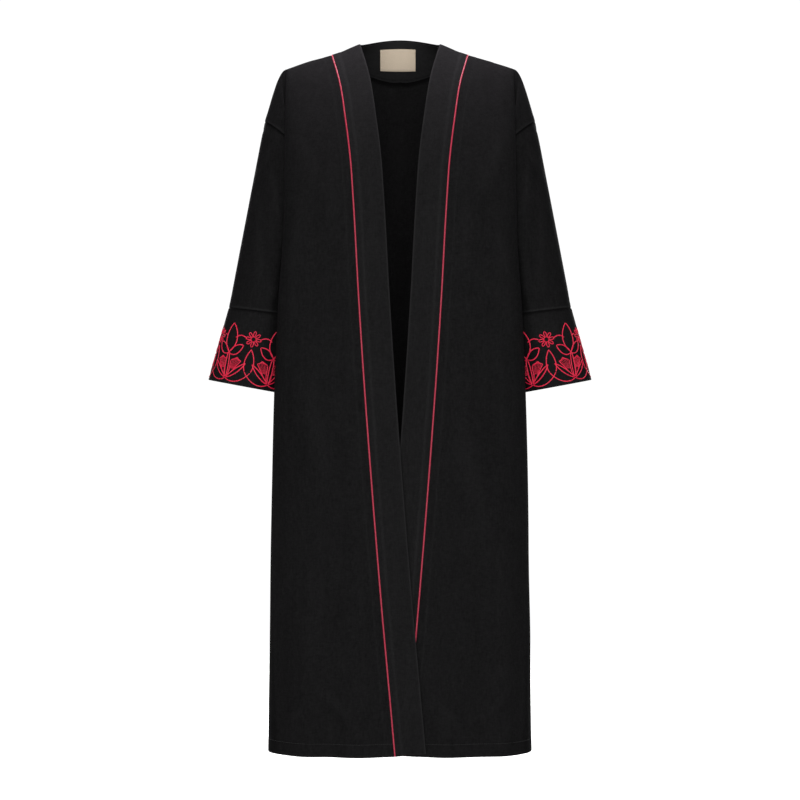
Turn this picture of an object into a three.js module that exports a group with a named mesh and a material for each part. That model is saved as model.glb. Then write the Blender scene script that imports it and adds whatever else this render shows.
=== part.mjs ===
// A long open-front manteau in black crepe, worn, filled out and hollow. Millimetres, +Z up.
// The front faces -Y and the wearer's right is at -X. The origin lies between the two shoulder
// lines at the neck, where the wearer's shoulders hold the garment.
import * as THREE from "three";

// Driving sizes
const BODY_WALL = 1.5;
const BAND_WALL = 2.6;
const CUFF_WALL = 2.2;
const FACING_WALL = 1.2;
const LABEL_WALL = 1.0;
const BAND_WIDTH = 50;
const PIPING_RADIUS = 1.4;
const PIPING_RISE = 0.7;
const PIPING_END = 0.4;
const SEAM_GAP = 0.3;
const UNDERARM_Z = -240;
const HEM_Z = -1152;
const NECK_CORNER = 112;
const NECK_DEPTH = 79;
const SHOULDER_END = 188;
const ARMHOLE_TIP = 223;
const ARMHOLE_TOP_Z = -118;
const ARMHOLE_FOOT = 140;
const ARMHOLE_Y = 8;
const ARMHOLE_HALF_DEPTH = 62;
const UPPER_ROWS = 12;
const BAND_COLUMNS = 3;
const FRONT_COLUMNS = 8;
const BACK_NECK_COLUMNS = 6;
const BACK_SHOULDER_COLUMNS = 4;
const STRIP_COLUMNS = 6;
const LAP_HALF_GAP = 2.9;
const LABEL = { left: -33, right: 26, top: 14.2, height: 38 };

// Heights of the rows below the underarm
const LOWER_LEVELS = [-262, -296, -340, -390, -445, -505, -575, -655, -745, -845, -950, -1055, HEM_Z];

// The shoulder line, drawn on to the centre as if the neck weren't cut out: a is the distance
// from the centre, and round says how boxy the fall of the back is there.
const SHOULDER = [
  { a: 0, z: 20, y: 5, round: 3.23 },
  { a: 34, z: 16.5, y: 5, round: 3.1 },
  { a: 66, z: 9.5, y: 5, round: 2.85 },
  { a: 82, z: 3, y: 5, round: 2.7 },
  { a: 97, z: -3.5, y: 5, round: 2.55 },
  { a: 112, z: -8.5, y: 5, round: 2.35 },
  { a: 142, z: -16.5, y: 6, round: 1.9 },
  { a: 163, z: -23, y: 7, round: 1.7 },
  { a: 188, z: -31.5, y: 8, round: 1.55 },
];
const FRONT_ROUND = 1.5;

// Level sections of the two fronts and of the back: half width, depth at the centre, depth of the
// fold beside the sleeve, the angle at which the main arc ends, and the two lengths that turn the
// cloth round that fold and into the side seam.
const FRONT_SECTIONS = [
  { z: -240, width: 187, depth: 122, fold: 72, reach: 90, turn: 20, wrap: 95 },
  { z: -330, width: 190.5, depth: 126, fold: 70, reach: 90, turn: 24, wrap: 88 },
  { z: -430, width: 198.5, depth: 127, fold: 60, reach: 85, turn: 30, wrap: 70 },
  { z: -560, width: 205, depth: 128, fold: 50, reach: 80, turn: 30, wrap: 60 },
  { z: -680, width: 209, depth: 128, fold: 38, reach: 75, turn: 30, wrap: 50 },
  { z: -860, width: 213, depth: 128, fold: 20, reach: 69, turn: 30, wrap: 40 },
  { z: -1152, width: 216, depth: 127, fold: 0, reach: 58, turn: 34, wrap: 42 },
];
const BACK_SECTIONS = [
  { z: -240, width: 180, depth: 108, fold: 84, reach: 90, turn: 20, wrap: 95 },
  { z: -330, width: 184, depth: 110, fold: 82, reach: 89, turn: 24, wrap: 88 },
  { z: -430, width: 190, depth: 112, fold: 77, reach: 86, turn: 30, wrap: 75 },
  { z: -560, width: 197, depth: 114, fold: 62, reach: 82, turn: 30, wrap: 62 },
  { z: -680, width: 204, depth: 118, fold: 44, reach: 77, turn: 30, wrap: 50 },
  { z: -860, width: 211, depth: 122, fold: 22, reach: 70, turn: 30, wrap: 40 },
  { z: -1152, width: 216, depth: 130, fold: 0, reach: 62, turn: 30, wrap: 30 },
];
const SIDE_SEAM = [
  { z: -240, a: 140, y: 8 },
  { z: -262, a: 137, y: 8 },
  { z: -296, a: 139.5, y: 8 },
  { z: -340, a: 144, y: 8 },
  { z: -430, a: 152, y: 7 },
  { z: -556, a: 178, y: 6 },
  { z: -680, a: 197, y: 5 },
  { z: -860, a: 209, y: 4 },
  { z: -1152, a: 216, y: 3 },
];
const BAND_SEAM = [
  { z: -1152, a: 8 },
  { z: -1059, a: 16 },
  { z: -898, a: 30.5 },
  { z: -577, a: 55.5 },
  { z: -417, a: 66 },
  { z: -256, a: 75 },
  { z: -190, a: 80 },
  { z: -124, a: 88.5 },
  { z: -68, a: 97 },
  { z: -8.5, a: 112 },
];
// Largest hanging folds: place across, half width and height at the hem, and where each begins
const FOLDS = {
  front_right: [
    { a: 62, wide: 30, high: 3.5, from: -420 },
    { a: 112, wide: 26, high: -4, from: -330 },
    { a: 158, wide: 24, high: 4, from: -380 },
  ],
  front_left: [
    { a: 70, wide: 28, high: 3, from: -460 },
    { a: 124, wide: 28, high: -4, from: -350 },
    { a: 166, wide: 22, high: 3.5, from: -420 },
  ],
  back: [
    { a: -150, wide: 26, high: 5, from: -380 },
    { a: -98, wide: 28, high: -6, from: -320 },
    { a: -40, wide: 30, high: 6, from: -420 },
    { a: 18, wide: 28, high: -5, from: -360 },
    { a: 74, wide: 30, high: 6, from: -300 },
    { a: 132, wide: 28, high: -6, from: -400 },
  ],
};
const CUFF_SEAM = { a: 222, y: 6, z: -433, wide: 60, deep: 62, tilt: 7.5 };
const CUFF_HEM = { a: 251.5, y: 4, z: -556.3, wide: 63.7, deep: 63.7, tilt: 11.8 };
const SLEEVE_STEPS = [0, 0.07, 0.17, 0.3, 0.45, 0.62, 0.81, 1];
const CUFF_STEPS = [0, 1 / 3, 2 / 3, 1];

const CLOTH = { color: 0x1b1b1d, roughness: 0.85, metalness: 0, side: THREE.DoubleSide };
const TRIM = { color: 0xa52238, roughness: 0.5, metalness: 0 };
const LABEL_CLOTH = { color: 0xb9a184, roughness: 0.7, metalness: 0 };

const lerp = (from, to, share) => from + (to - from) * share;
const clamp = (value) => Math.min(1, Math.max(0, value));
const smooth = (value) => clamp(value) ** 2 * (3 - 2 * clamp(value));
const signedPower = (value, power) => Math.sign(value) * Math.abs(value) ** power;
const radians = THREE.MathUtils.degToRad;
const point = (x, y, z) => new THREE.Vector3(x, y, z);

// One column of a short table, read at a key on a smooth curve through its rows.
function read(table, key, column, at) {
  const rows = [...table].sort((p, q) => p[key] - q[key]);
  const x = rows.map((row) => row[key]);
  const v = rows.map((row) => row[column]);
  const last = x.length - 1;
  const place = Math.min(x[last], Math.max(x[0], at));
  const above = x.findIndex((value) => value > place);
  const k = above < 0 ? last - 1 : above - 1;
  const slope = (j) => (v[j + 1] - v[j]) / (x[j + 1] - x[j]);
  const tangent = (j) => {
    if (j === 0) return slope(0);
    if (j === last) return slope(j - 1);
    return (slope(j - 1) + slope(j)) / 2;
  };
  const h = x[k + 1] - x[k];
  const s = (place - x[k]) / h;
  const rise = (s ** 3 - 2 * s ** 2 + s) * h * tangent(k) + (s ** 3 - s ** 2) * h * tangent(k + 1);
  return v[k] * (2 * s ** 3 - 3 * s ** 2 + 1) + v[k + 1] * (3 * s ** 2 - 2 * s ** 3) + rise;
}

// One level section of the fronts or the back
function sectionAt(face, z) {
  const table = face < 0 ? FRONT_SECTIONS : BACK_SECTIONS;
  const section = {};
  for (const column of ["width", "depth", "fold", "reach", "turn", "wrap"]) {
    section[column] = read(table, "z", column, z);
  }
  return section;
}

// The main arc of a level section: a superellipse of power three.
function arcDepth(section, a) {
  const inside = Math.max(0, 1 - Math.abs(a / section.width) ** 3);
  return section.fold + (section.depth - section.fold) * Math.cbrt(inside);
}

const arcPlace = (width, angle) => width * signedPower(Math.sin(angle), 2 / 3);
const arcAngle = (width, a) => Math.asin(Math.min(1, Math.abs(a) / width) ** 1.5) * Math.sign(a);

// Above the underarm each line of cloth falls from the shoulder line on a rounded curve: a quarter
// of a superellipse whose power is small at the shoulder end and larger behind the neck.
function upperWidth(face, t) {
  return lerp(SHOULDER_END, sectionAt(face, UNDERARM_Z).width, t);
}

function upperPoint(face, a, angle, t) {
  const section = { ...sectionAt(face, UNDERARM_Z), width: upperWidth(face, t) };
  const top = point(a, read(SHOULDER, "a", "y", Math.abs(a)), read(SHOULDER, "a", "z", Math.abs(a)));
  const power = 2 / (face < 0 ? FRONT_ROUND : read(SHOULDER, "a", "round", Math.abs(a)));
  const y = lerp(top.y, face * arcDepth(section, a), Math.sin(angle) ** power);
  const z = UNDERARM_Z + (top.z - UNDERARM_Z) * Math.max(0, Math.cos(angle)) ** power;
  return point(a, y, z);
}

// The back neckline, cut out of the upper back: the angle at which each line of cloth starts.
function necklineAngle(a, t) {
  if (a >= NECK_CORNER) return 0;
  const section = { ...sectionAt(1, UNDERARM_Z), width: upperWidth(1, t) };
  const back = NECK_DEPTH * Math.sqrt(1 - (a / NECK_CORNER) ** 2);
  const span = arcDepth(section, a) - read(SHOULDER, "a", "y", a);
  return Math.asin(Math.min(1, (back / span) ** (read(SHOULDER, "a", "round", a) / 2)));
}

// The armhole ring, from the tip of the dropped shoulder (t = 0) round to the underarm (t = 1)
function armholePoint(face, t) {
  const up = 1 - t ** 1.6;
  const out = ARMHOLE_HALF_DEPTH * 2.377 * up ** 0.8 * Math.sqrt(Math.max(0, 1 - up));
  return point(
    ARMHOLE_FOOT + (ARMHOLE_TIP - ARMHOLE_FOOT) * up ** 2.2,
    ARMHOLE_Y + face * out,
    UNDERARM_Z + (ARMHOLE_TOP_Z - UNDERARM_Z) * up,
  );
}

// The strip from the fold beside the sleeve to the armhole or the side seam: a cubic curve.
function strip(fold, heading, turn, end, arrival, wrap) {
  const curve = new THREE.CubicBezierCurve3(
    fold,
    fold.clone().addScaledVector(heading, turn),
    end.clone().addScaledVector(arrival, -wrap),
    end,
  );
  return curve.getPoints(STRIP_COLUMNS).slice(1);
}

function upperStrip(face, fold, t) {
  const end = armholePoint(face, t);
  const length = fold.distanceTo(end);
  const blend = t ** 2;
  const heading = point(0.95, 0, -0.2).lerp(point(0, -face, 0), blend).normalize();
  const arrival = point(0.3, 0, -0.95).lerp(point(0.09, -face, 0), blend).normalize();
  const turn = length * lerp(0.15, 0.2, blend);
  const wrap = length * lerp(0.42, 0.95, blend);
  return strip(fold, heading, turn, end, arrival, wrap);
}

function lowerStrip(face, z, section, angle, fold) {
  const run = section.width * Math.sin(angle) ** (-1 / 3) * Math.max(0, Math.cos(angle)) ** (4 / 3);
  const heading = point(run, -face * (section.depth - section.fold) * Math.sin(angle), 0).normalize();
  const end = point(read(SIDE_SEAM, "z", "a", z), read(SIDE_SEAM, "z", "y", z), z);
  const arrival = point(0.09 * smooth((z + 600) / 300), -face, 0).normalize();
  return strip(fold, heading, section.turn, end, arrival, section.wrap);
}

// Places across a front or band: the band is measured off along the row from its seam.
function bandPlaces(seam, pointAt) {
  const places = [];
  let a = seam;
  let run = 0;
  let last = pointAt(a);
  for (let k = 1; k <= BAND_COLUMNS; k += 1) {
    while (run < (BAND_WIDTH * k) / BAND_COLUMNS) {
      a -= 0.25;
      const next = pointAt(a);
      run += next.distanceTo(last);
      last = next;
    }
    places.push(a);
  }
  return places.reverse();
}

// Rows of one half front, from the band's inner edge to the side: points at a > 0, before draping
function frontRow(level) {
  const upper = level.t !== undefined;
  const angleDown = upper ? (Math.PI / 2) * level.t : 0;
  const section = sectionAt(-1, level.z);
  const width = upper ? upperWidth(-1, level.t) : section.width;
  const pointAt = upper
    ? (a) => upperPoint(-1, a, angleDown, level.t)
    : (a) => point(a, -arcDepth(section, a), level.z);
  const fallPower = 2 / FRONT_ROUND;
  const top = read(SHOULDER, "a", "z", NECK_CORNER);
  const seamZ = upper ? lerp(UNDERARM_Z, top, Math.max(0, Math.cos(angleDown)) ** fallPower) : level.z;
  const seam = read(BAND_SEAM, "z", "a", seamZ);
  const reach = upper ? Math.PI / 2 : radians(section.reach);
  const start = arcAngle(width, seam);
  const main = [];
  for (let k = 0; k <= FRONT_COLUMNS; k += 1) {
    const a = k === 0 ? seam : arcPlace(width, lerp(start, reach, k / FRONT_COLUMNS));
    main.push(pointAt(a));
  }
  const fold = main[FRONT_COLUMNS];
  const side = upper ? upperStrip(-1, fold, level.t) : lowerStrip(-1, level.z, section, reach, fold);
  return { band: [...bandPlaces(seam, pointAt).map(pointAt), main[0]], front: [...main, ...side] };
}

// Rows of half the back, from the centre to the side: points at a > 0, before draping
function backRow(level) {
  const upper = level.t !== undefined;
  const section = sectionAt(1, level.z);
  const width = upper ? upperWidth(1, level.t) : section.width;
  const reach = upper ? Math.PI / 2 : radians(section.reach);
  const even = upper ? smooth(level.t / 0.6) : 1;
  const pointAt = (a, start) => {
    if (!upper) return point(a, arcDepth(section, a), level.z);
    return upperPoint(1, a, lerp(start, Math.PI / 2, level.t), level.t);
  };
  const row = [];
  for (let k = 0; k <= BACK_NECK_COLUMNS; k += 1) {
    const cut = NECK_CORNER * Math.sin((k / BACK_NECK_COLUMNS) * (Math.PI / 2));
    const a = lerp(cut, (NECK_CORNER * k) / BACK_NECK_COLUMNS, even);
    row.push(pointAt(a, upper ? necklineAngle(cut, level.t) : 0));
  }
  const corner = arcAngle(width, NECK_CORNER);
  for (let k = 1; k <= BACK_SHOULDER_COLUMNS; k += 1) {
    row.push(pointAt(arcPlace(width, lerp(corner, reach, k / BACK_SHOULDER_COLUMNS)), 0));
  }
  const fold = row[row.length - 1];
  const side = upper ? upperStrip(1, fold, level.t) : lowerStrip(1, level.z, section, reach, fold);
  return [...row, ...side];
}

function levels() {
  const list = [];
  for (let k = 0; k <= UPPER_ROWS; k += 1) list.push({ t: k / UPPER_ROWS, z: UNDERARM_Z });
  return [...list, ...LOWER_LEVELS.map((z) => ({ z }))];
}

// Drape: the lap of the right front over the left, the hanging folds, and the hem's slight rise
function drape(piece, side, p) {
  const a = side === 0 ? p.x : p.x * side;
  const face = piece === "back" ? 1 : -1;
  let { y, z } = p;
  for (const fold of FOLDS[piece]) {
    const down = smooth((fold.from - p.z) / (fold.from - HEM_Z));
    const beside = Math.exp(-(((a - fold.a) / fold.wide) ** 2));
    const clear = face > 0
      ? smooth((200 - Math.abs(a)) / 40)
      : smooth((a - 15) / 50) * smooth((198 - a) / 30);
    if (p.y * face > 20) y += face * fold.high * down * beside * clear;
  }
  if (face < 0) {
    const lap = smooth((-400 - p.z) / 200) * smooth((110 - a) / 60);
    y += side * LAP_HALF_GAP * lap;
    const rise = a < 8 ? 2.5 + (8 - a) * 0.08 : 2.5 * clamp((100 - a) / 92) ** 2;
    if (p.y < -20) z += rise * smooth(1 - (p.z - HEM_Z) / 100);
  }
  return point(p.x, y, z);
}

// Normals of a grid of points, facing the way that sign gives
function gridNormals(grid, sign, closed) {
  const rows = grid.length;
  const columns = grid[0].length;
  return grid.map((row, r) => row.map((_, c) => {
    const before = closed ? (c + columns - 1) % columns : Math.max(0, c - 1);
    const after = closed ? (c + 1) % columns : Math.min(columns - 1, c + 1);
    const across = row[after].clone().sub(row[before]);
    const down = grid[Math.min(rows - 1, r + 1)][c].clone().sub(grid[Math.max(0, r - 1)][c]);
    return across.cross(down).multiplyScalar(sign).normalize();
  }));
}

// Where pieces meet on a shared seam and lie much the same way, they share one normal, so their
// edges are cut on the same slant.
function shareNormals(pieces) {
  const seats = new Map();
  for (const piece of pieces) {
    piece.grid.forEach((row, r) => row.forEach((p, c) => {
      const key = [p.x, p.y, p.z].map((value) => Math.round(value * 50)).join();
      if (!seats.has(key)) seats.set(key, []);
      seats.get(key).push({ piece, r, c, own: piece.normals[r][c].clone() });
    }));
  }
  for (const group of seats.values()) {
    for (const seat of group) {
      const mean = point(0, 0, 0);
      for (const other of group) if (other.own.dot(seat.own) > 0.3) mean.add(other.own);
      mean.normalize();
      seat.piece.normals[seat.r][seat.c] = mean;
      seat.piece.stretch[seat.r][seat.c] = 1 / Math.max(0.8, mean.dot(seat.own));
    }
  }
}

// Draws an edge of a grid back into the piece, square to the edge, to leave the gap of a seam.
function trim(piece, edge, amount, from = 0, to = Infinity) {
  const { grid } = piece;
  const last = grid.length - 1;
  const end = grid[0].length - 1;
  const lines = {
    "first row": [grid[0], grid[1]],
    "last row": [grid[last], grid[last - 1]],
    "first column": [grid.map((row) => row[0]), grid.map((row) => row[1])],
    "last column": [grid.map((row) => row[end]), grid.map((row) => row[end - 1])],
  };
  const [line, inside] = lines[edge].map((cells) => cells.slice(from, Math.min(cells.length, to + 1)));
  const moves = line.map((p, k) => {
    const along = line[Math.min(line.length - 1, k + 1)].clone().sub(line[Math.max(0, k - 1)]).normalize();
    const inward = inside[k].clone().sub(p);
    return inward.addScaledVector(along, -inward.dot(along)).setLength(amount);
  });
  line.forEach((p, k) => p.add(moves[k]));
}

// A closed wall of cloth: the grid moved half the thickness to each side, and joined at its edges
function wall(piece, thickness, closed = false) {
  const { grid, normals, stretch } = piece;
  const rows = grid.length;
  const columns = grid[0].length;
  const positions = [];
  const faces = [];
  for (const way of [0.5, -0.5]) {
    grid.forEach((row, r) => row.forEach((p, c) => {
      const q = p.clone().addScaledVector(normals[r][c], way * thickness * stretch[r][c]);
      positions.push(q.x, q.y, q.z);
    }));
  }
  const inner = rows * columns;
  const at = (r, c) => r * columns + (c % columns);
  const quad = (p, q, r, s) => faces.push(p, q, r, p, r, s);
  const lastColumn = closed ? columns : columns - 1;
  for (let r = 0; r < rows - 1; r += 1) {
    for (let c = 0; c < lastColumn; c += 1) {
      quad(at(r, c), at(r + 1, c), at(r + 1, c + 1), at(r, c + 1));
      quad(inner + at(r, c), inner + at(r, c + 1), inner + at(r + 1, c + 1), inner + at(r + 1, c));
    }
  }
  for (let c = 0; c < lastColumn; c += 1) {
    quad(at(0, c), at(0, c + 1), inner + at(0, c + 1), inner + at(0, c));
    quad(at(rows - 1, c + 1), at(rows - 1, c), inner + at(rows - 1, c), inner + at(rows - 1, c + 1));
  }
  if (!closed) {
    const end = columns - 1;
    for (let r = 0; r < rows - 1; r += 1) {
      quad(at(r + 1, 0), at(r, 0), inner + at(r, 0), inner + at(r + 1, 0));
      quad(at(r, end), at(r + 1, end), inner + at(r + 1, end), inner + at(r, end));
    }
  }
  return solid(positions, faces, piece.sign > 0);
}

// One solid's geometry; its triangles are turned over where they would face inwards.
function solid(positions, faces, turned) {
  const index = [...faces];
  for (let k = 0; turned && k < index.length; k += 3) {
    [index[k + 1], index[k + 2]] = [index[k + 2], index[k + 1]];
  }
  const geometry = new THREE.BufferGeometry();
  geometry.setAttribute("position", new THREE.Float32BufferAttribute(positions, 3));
  geometry.setIndex(index);
  geometry.computeVertexNormals();
  return geometry;
}

// A round cord through a list of centres, with a flat cap at each end
function cord(centres, normals) {
  const sides = 8;
  const positions = [];
  const faces = [];
  centres.forEach((centre, r) => {
    const before = centres[Math.max(0, r - 1)];
    const after = centres[Math.min(centres.length - 1, r + 1)];
    const along = after.clone().sub(before).normalize();
    const across = along.clone().cross(normals[r]).normalize();
    const out = across.clone().cross(along);
    for (let k = 0; k < sides; k += 1) {
      const angle = (2 * Math.PI * (k + 0.5)) / sides;
      const q = centre.clone();
      q.addScaledVector(across, PIPING_RADIUS * Math.cos(angle));
      q.addScaledVector(out, PIPING_RADIUS * Math.sin(angle));
      positions.push(q.x, q.y, q.z);
    }
  });
  const at = (r, k) => r * sides + (k % sides);
  const last = centres.length - 1;
  for (let r = 0; r < last; r += 1) {
    for (let k = 0; k < sides; k += 1) {
      faces.push(at(r, k), at(r, k + 1), at(r + 1, k + 1), at(r, k), at(r + 1, k + 1), at(r + 1, k));
    }
  }
  for (let k = 1; k < sides - 1; k += 1) {
    faces.push(at(0, 0), at(0, k + 1), at(0, k), at(last, 0), at(last, k), at(last, k + 1));
  }
  return solid(positions, faces, true);
}

// A piece of cloth: its grid of points, their normals, and how far each normal is stretched
function makePiece(grid, sign, closed = false) {
  const normals = gridNormals(grid, sign, closed);
  return { grid, normals, sign, stretch: grid.map((row) => row.map(() => 1)) };
}

// The garment's grids, all sharing their seam points
const rows = levels();
const mirror = (side, p) => point(p.x * side, p.y, p.z);
const pieces = {};
const frontRows = rows.map(frontRow);
for (const [name, side] of [["right", -1], ["left", 1]]) {
  const hang = (p) => drape(`front_${name}`, side, mirror(side, p));
  pieces[`band_${name}`] = makePiece(frontRows.map((row) => row.band.map(hang)), -side);
  pieces[`front_${name}`] = makePiece(frontRows.map((row) => row.front.map(hang)), -side);
}
const backGrid = rows.map((level) => {
  const half = backRow(level).map((p) => drape("back", 0, p));
  const other = backRow(level).slice(1).reverse().map((p) => drape("back", 0, mirror(-1, p)));
  return [...other, ...half];
});
pieces.back = makePiece(backGrid, 1);

// The band behind the neck stands up from the neckline to a smaller, higher ring.
const collarEdge = frontRows[0].band[0];
const CENTRE = backGrid[0].length >> 1;
const neckline = backGrid[0].slice(CENTRE - BACK_NECK_COLUMNS, CENTRE + BACK_NECK_COLUMNS + 1);
const collarTop = neckline.map((p) => {
  const lean = Math.sqrt(Math.max(0, 1 - (p.x / NECK_CORNER) ** 2));
  return point((p.x * collarEdge.x) / NECK_CORNER, 5 + 65 * lean, collarEdge.z + 14.5 * lean ** 2);
});
const collarGrid = [];
const bandTop = frontRows[0].band;
for (let k = 0; k <= BAND_COLUMNS; k += 1) {
  const share = k / BAND_COLUMNS;
  const bend = bandTop[k].clone().sub(bandTop[0].clone().lerp(bandTop[BAND_COLUMNS], share));
  collarGrid.push(collarTop.map((p, c) => {
    const q = p.clone().lerp(neckline[c], share);
    const corner = Math.abs(neckline[c].x) / NECK_CORNER;
    return q.add(point(Math.sign(q.x) * bend.x, bend.y, bend.z).multiplyScalar(corner ** 4));
  }));
}
pieces.band_back_neck = makePiece(collarGrid, 1);

// Sleeves and cuffs: a loft from the armhole ring to two slanted rings
function sleeveRing(ring, angle) {
  return point(
    ring.a + ring.wide * Math.cos(angle),
    ring.y - ring.deep * Math.sin(angle),
    ring.z + ring.tilt * Math.cos(angle),
  );
}

function tubeAngles() {
  return [...Array(2 * UPPER_ROWS).keys()].map((k) => (Math.PI * k) / UPPER_ROWS);
}

function armholeRing() {
  const front = rows.slice(0, UPPER_ROWS + 1).map((level) => armholePoint(-1, level.t));
  const back = rows.slice(1, UPPER_ROWS).map((level) => armholePoint(1, level.t)).reverse();
  return [...front, ...back];
}

for (const [name, side] of [["right", -1], ["left", 1]]) {
  const angles = tubeAngles();
  const ring = armholeRing();
  const seam = angles.map((angle) => sleeveRing(CUFF_SEAM, angle));
  const hem = angles.map((angle) => sleeveRing(CUFF_HEM, angle));
  const between = (from, to, s) => from.map((p, k) => mirror(side, p.clone().lerp(to[k], s)));
  const loft = (from, to, steps) => steps.map((s) => between(from, to, s));
  pieces[`sleeve_${name}`] = makePiece(loft(ring, seam, SLEEVE_STEPS), side, true);
  pieces[`cuff_${name}`] = makePiece(loft(seam, hem, CUFF_STEPS), side, true);
}

shareNormals(Object.values(pieces));

// Under the arm the sleeve folds back beside the body, so its edge lies a wall away from the body's.
function seatSleeve(name) {
  const sleeve = pieces[`sleeve_${name}`];
  sleeve.grid[0].forEach((p, k) => {
    const row = k <= UPPER_ROWS ? k : 2 * UPPER_ROWS - k;
    const body = k <= UPPER_ROWS ? pieces[`front_${name}`] : pieces.back;
    const away = body.grid[row].map((q) => q.distanceTo(p));
    const outward = body.normals[row][away.indexOf(Math.min(...away))];
    const turn = sleeve.normals[0][k].dot(outward);
    if (turn < 0.9) p.addScaledVector(outward, ((BODY_WALL + 2 * SEAM_GAP) * (1 - turn)) / 2);
  });
}
seatSleeve("right");
seatSleeve("left");

// The piping lies in the seam between each front, or the back, and its band.
function pipingLine(piece, places) {
  return places.map(([r, c]) => ({
    centre: piece.grid[r][c].clone().addScaledVector(piece.normals[r][c], PIPING_RISE),
    normal: piece.normals[r][c].clone(),
  }));
}

const meshes = [];
function add(name, geometry, finish) {
  const mesh = new THREE.Mesh(geometry, new THREE.MeshStandardMaterial(finish));
  mesh.name = name;
  meshes.push(mesh);
}

for (const name of ["right", "left"]) {
  const line = pipingLine(pieces[`front_${name}`], rows.map((_, r) => [r, 0]));
  line[0].centre.add(line[1].centre.clone().sub(line[0].centre).setLength(PIPING_END));
  add(`piping_${name}`, cord(line.map((p) => p.centre), line.map((p) => p.normal)), TRIM);
}
const neckLine = pipingLine(
  pieces.band_back_neck,
  neckline.map((_, c) => [BAND_COLUMNS, c]),
);
for (const [end, next] of [[0, 1], [neckLine.length - 1, neckLine.length - 2]]) {
  const pull = neckLine[next].centre.clone().sub(neckLine[end].centre).setLength(PIPING_END);
  neckLine[end].centre.add(pull);
}
add("piping_back_neck", cord(neckLine.map((p) => p.centre), neckLine.map((p) => p.normal)), TRIM);

// The facing lies inside the standing band and runs a little way down inside the back.
const FACING_START = 8;
const FACING_BELOW = 21.5;
const FACING_TOP = 1.5;
function facingGrid() {
  const columns = collarGrid[0].map((_, c) => {
    const lean = Math.sqrt(Math.max(0, 1 - (neckline[c].x / NECK_CORNER) ** 2));
    const band = pieces.band_back_neck;
    const inward = (source, r, col) => source.grid[r][col].clone()
      .addScaledVector(source.normals[r][col], -(BAND_WALL / 2 + SEAM_GAP + FACING_WALL / 2));
    const line = collarGrid.map((_, r) => inward(band, r, c));
    const below = [1, 2, 3].map((r) => inward(pieces.back, r, CENTRE - BACK_NECK_COLUMNS + c));
    line[0].lerp(line[1], (FACING_TOP * BAND_COLUMNS) / BAND_WIDTH);
    const depth = FACING_BELOW * lean ** 1.5 + 0.4;
    for (const share of [0.5, 1]) {
      let left = depth * share;
      let from = line[BAND_COLUMNS];
      let spot = null;
      for (const to of below) {
        const step = from.distanceTo(to);
        if (spot === null && left <= step) spot = from.clone().lerp(to, left / step);
        left -= step;
        from = to;
      }
      line.push(spot);
    }
    return line;
  });
  const share = FACING_START / (90 / BACK_NECK_COLUMNS);
  columns[0].forEach((p, r) => p.lerp(columns[1][r], share));
  const end = columns.length - 1;
  columns[end].forEach((p, r) => p.lerp(columns[end - 1][r], share));
  return columns[0].map((_, r) => columns.map((column) => column[r]));
}

const facing = makePiece(facingGrid(), 1);
add("facing_back_neck", wall(facing, FACING_WALL), CLOTH);

// The label is cut from the facing's own surface, moved inwards.
function labelGrid() {
  const lift = FACING_WALL / 2 + SEAM_GAP + 0.15 + LABEL_WALL / 2;
  const acrossAt = (row, normals, x) => {
    const k = Math.max(0, row.findIndex((p) => p.x > x) - 1);
    const share = (x - row[k].x) / (row[k + 1].x - row[k].x);
    const p = row[k].clone().lerp(row[k + 1], share);
    return p.addScaledVector(normals[k].clone().lerp(normals[k + 1], share).normalize(), -lift);
  };
  const places = [LABEL.left, -28, 0, LABEL.right];
  const lines = facing.grid.map((row, r) => places.map((x) => acrossAt(row, facing.normals[r], x)));
  const first = (LABEL.top - FACING_TOP) / (BAND_WIDTH / BAND_COLUMNS - FACING_TOP);
  let from = lines[0].map((p, c) => p.clone().lerp(lines[1][c], first));
  const grid = [from];
  let left = LABEL.height;
  for (const to of lines.slice(1)) {
    const step = to[2].distanceTo(from[2]);
    const share = Math.min(1, left / step);
    if (left > 0.5) grid.push(to.map((p, c) => from[c].clone().lerp(p, share)));
    left -= step;
    from = to;
  }
  return grid;
}
add("neck_label", wall(makePiece(labelGrid(), 1), LABEL_WALL), LABEL_CLOTH);

// Seam gaps, then the walls themselves
const half = SEAM_GAP / 2;
const pipingGap = PIPING_RADIUS + SEAM_GAP;
for (const name of ["right", "left"]) {
  trim(pieces[`band_${name}`], "last column", pipingGap);
  trim(pieces[`band_${name}`], "first row", half);
  trim(pieces[`front_${name}`], "first column", pipingGap);
  trim(pieces[`front_${name}`], "last column", half);
  trim(pieces[`front_${name}`], "first row", half);
  trim(pieces[`sleeve_${name}`], "first row", half);
  trim(pieces[`sleeve_${name}`], "last row", half);
  trim(pieces[`cuff_${name}`], "first row", half);
}
trim(pieces.band_back_neck, "last row", pipingGap);
trim(pieces.band_back_neck, "first column", half);
trim(pieces.band_back_neck, "last column", half);
trim(pieces.back, "first column", half);
trim(pieces.back, "last column", half);
trim(pieces.back, "first row", half, 0, CENTRE - BACK_NECK_COLUMNS);
trim(pieces.back, "first row", half, CENTRE + BACK_NECK_COLUMNS);
trim(pieces.back, "first row", pipingGap, CENTRE - BACK_NECK_COLUMNS, CENTRE + BACK_NECK_COLUMNS);

const walls = { band: BAND_WALL, front: BODY_WALL, back: BODY_WALL, sleeve: BODY_WALL, cuff: CUFF_WALL };
for (const [name, piece] of Object.entries(pieces)) {
  const kind = name.split("_")[0];
  add(name, wall(piece, walls[kind], kind === "sleeve" || kind === "cuff"), CLOTH);
}

const manteau = new THREE.Group();
manteau.add(...meshes);
export default manteau;
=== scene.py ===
"""A long open-front manteau in black crepe, worn and hollow, with crimson piping and cuff embroidery.

Each cloth piece is a surface worked out with numpy from a few tables of sections, in millimetres, in
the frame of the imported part, and goes into its mesh in metres.
"""

import math

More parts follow.
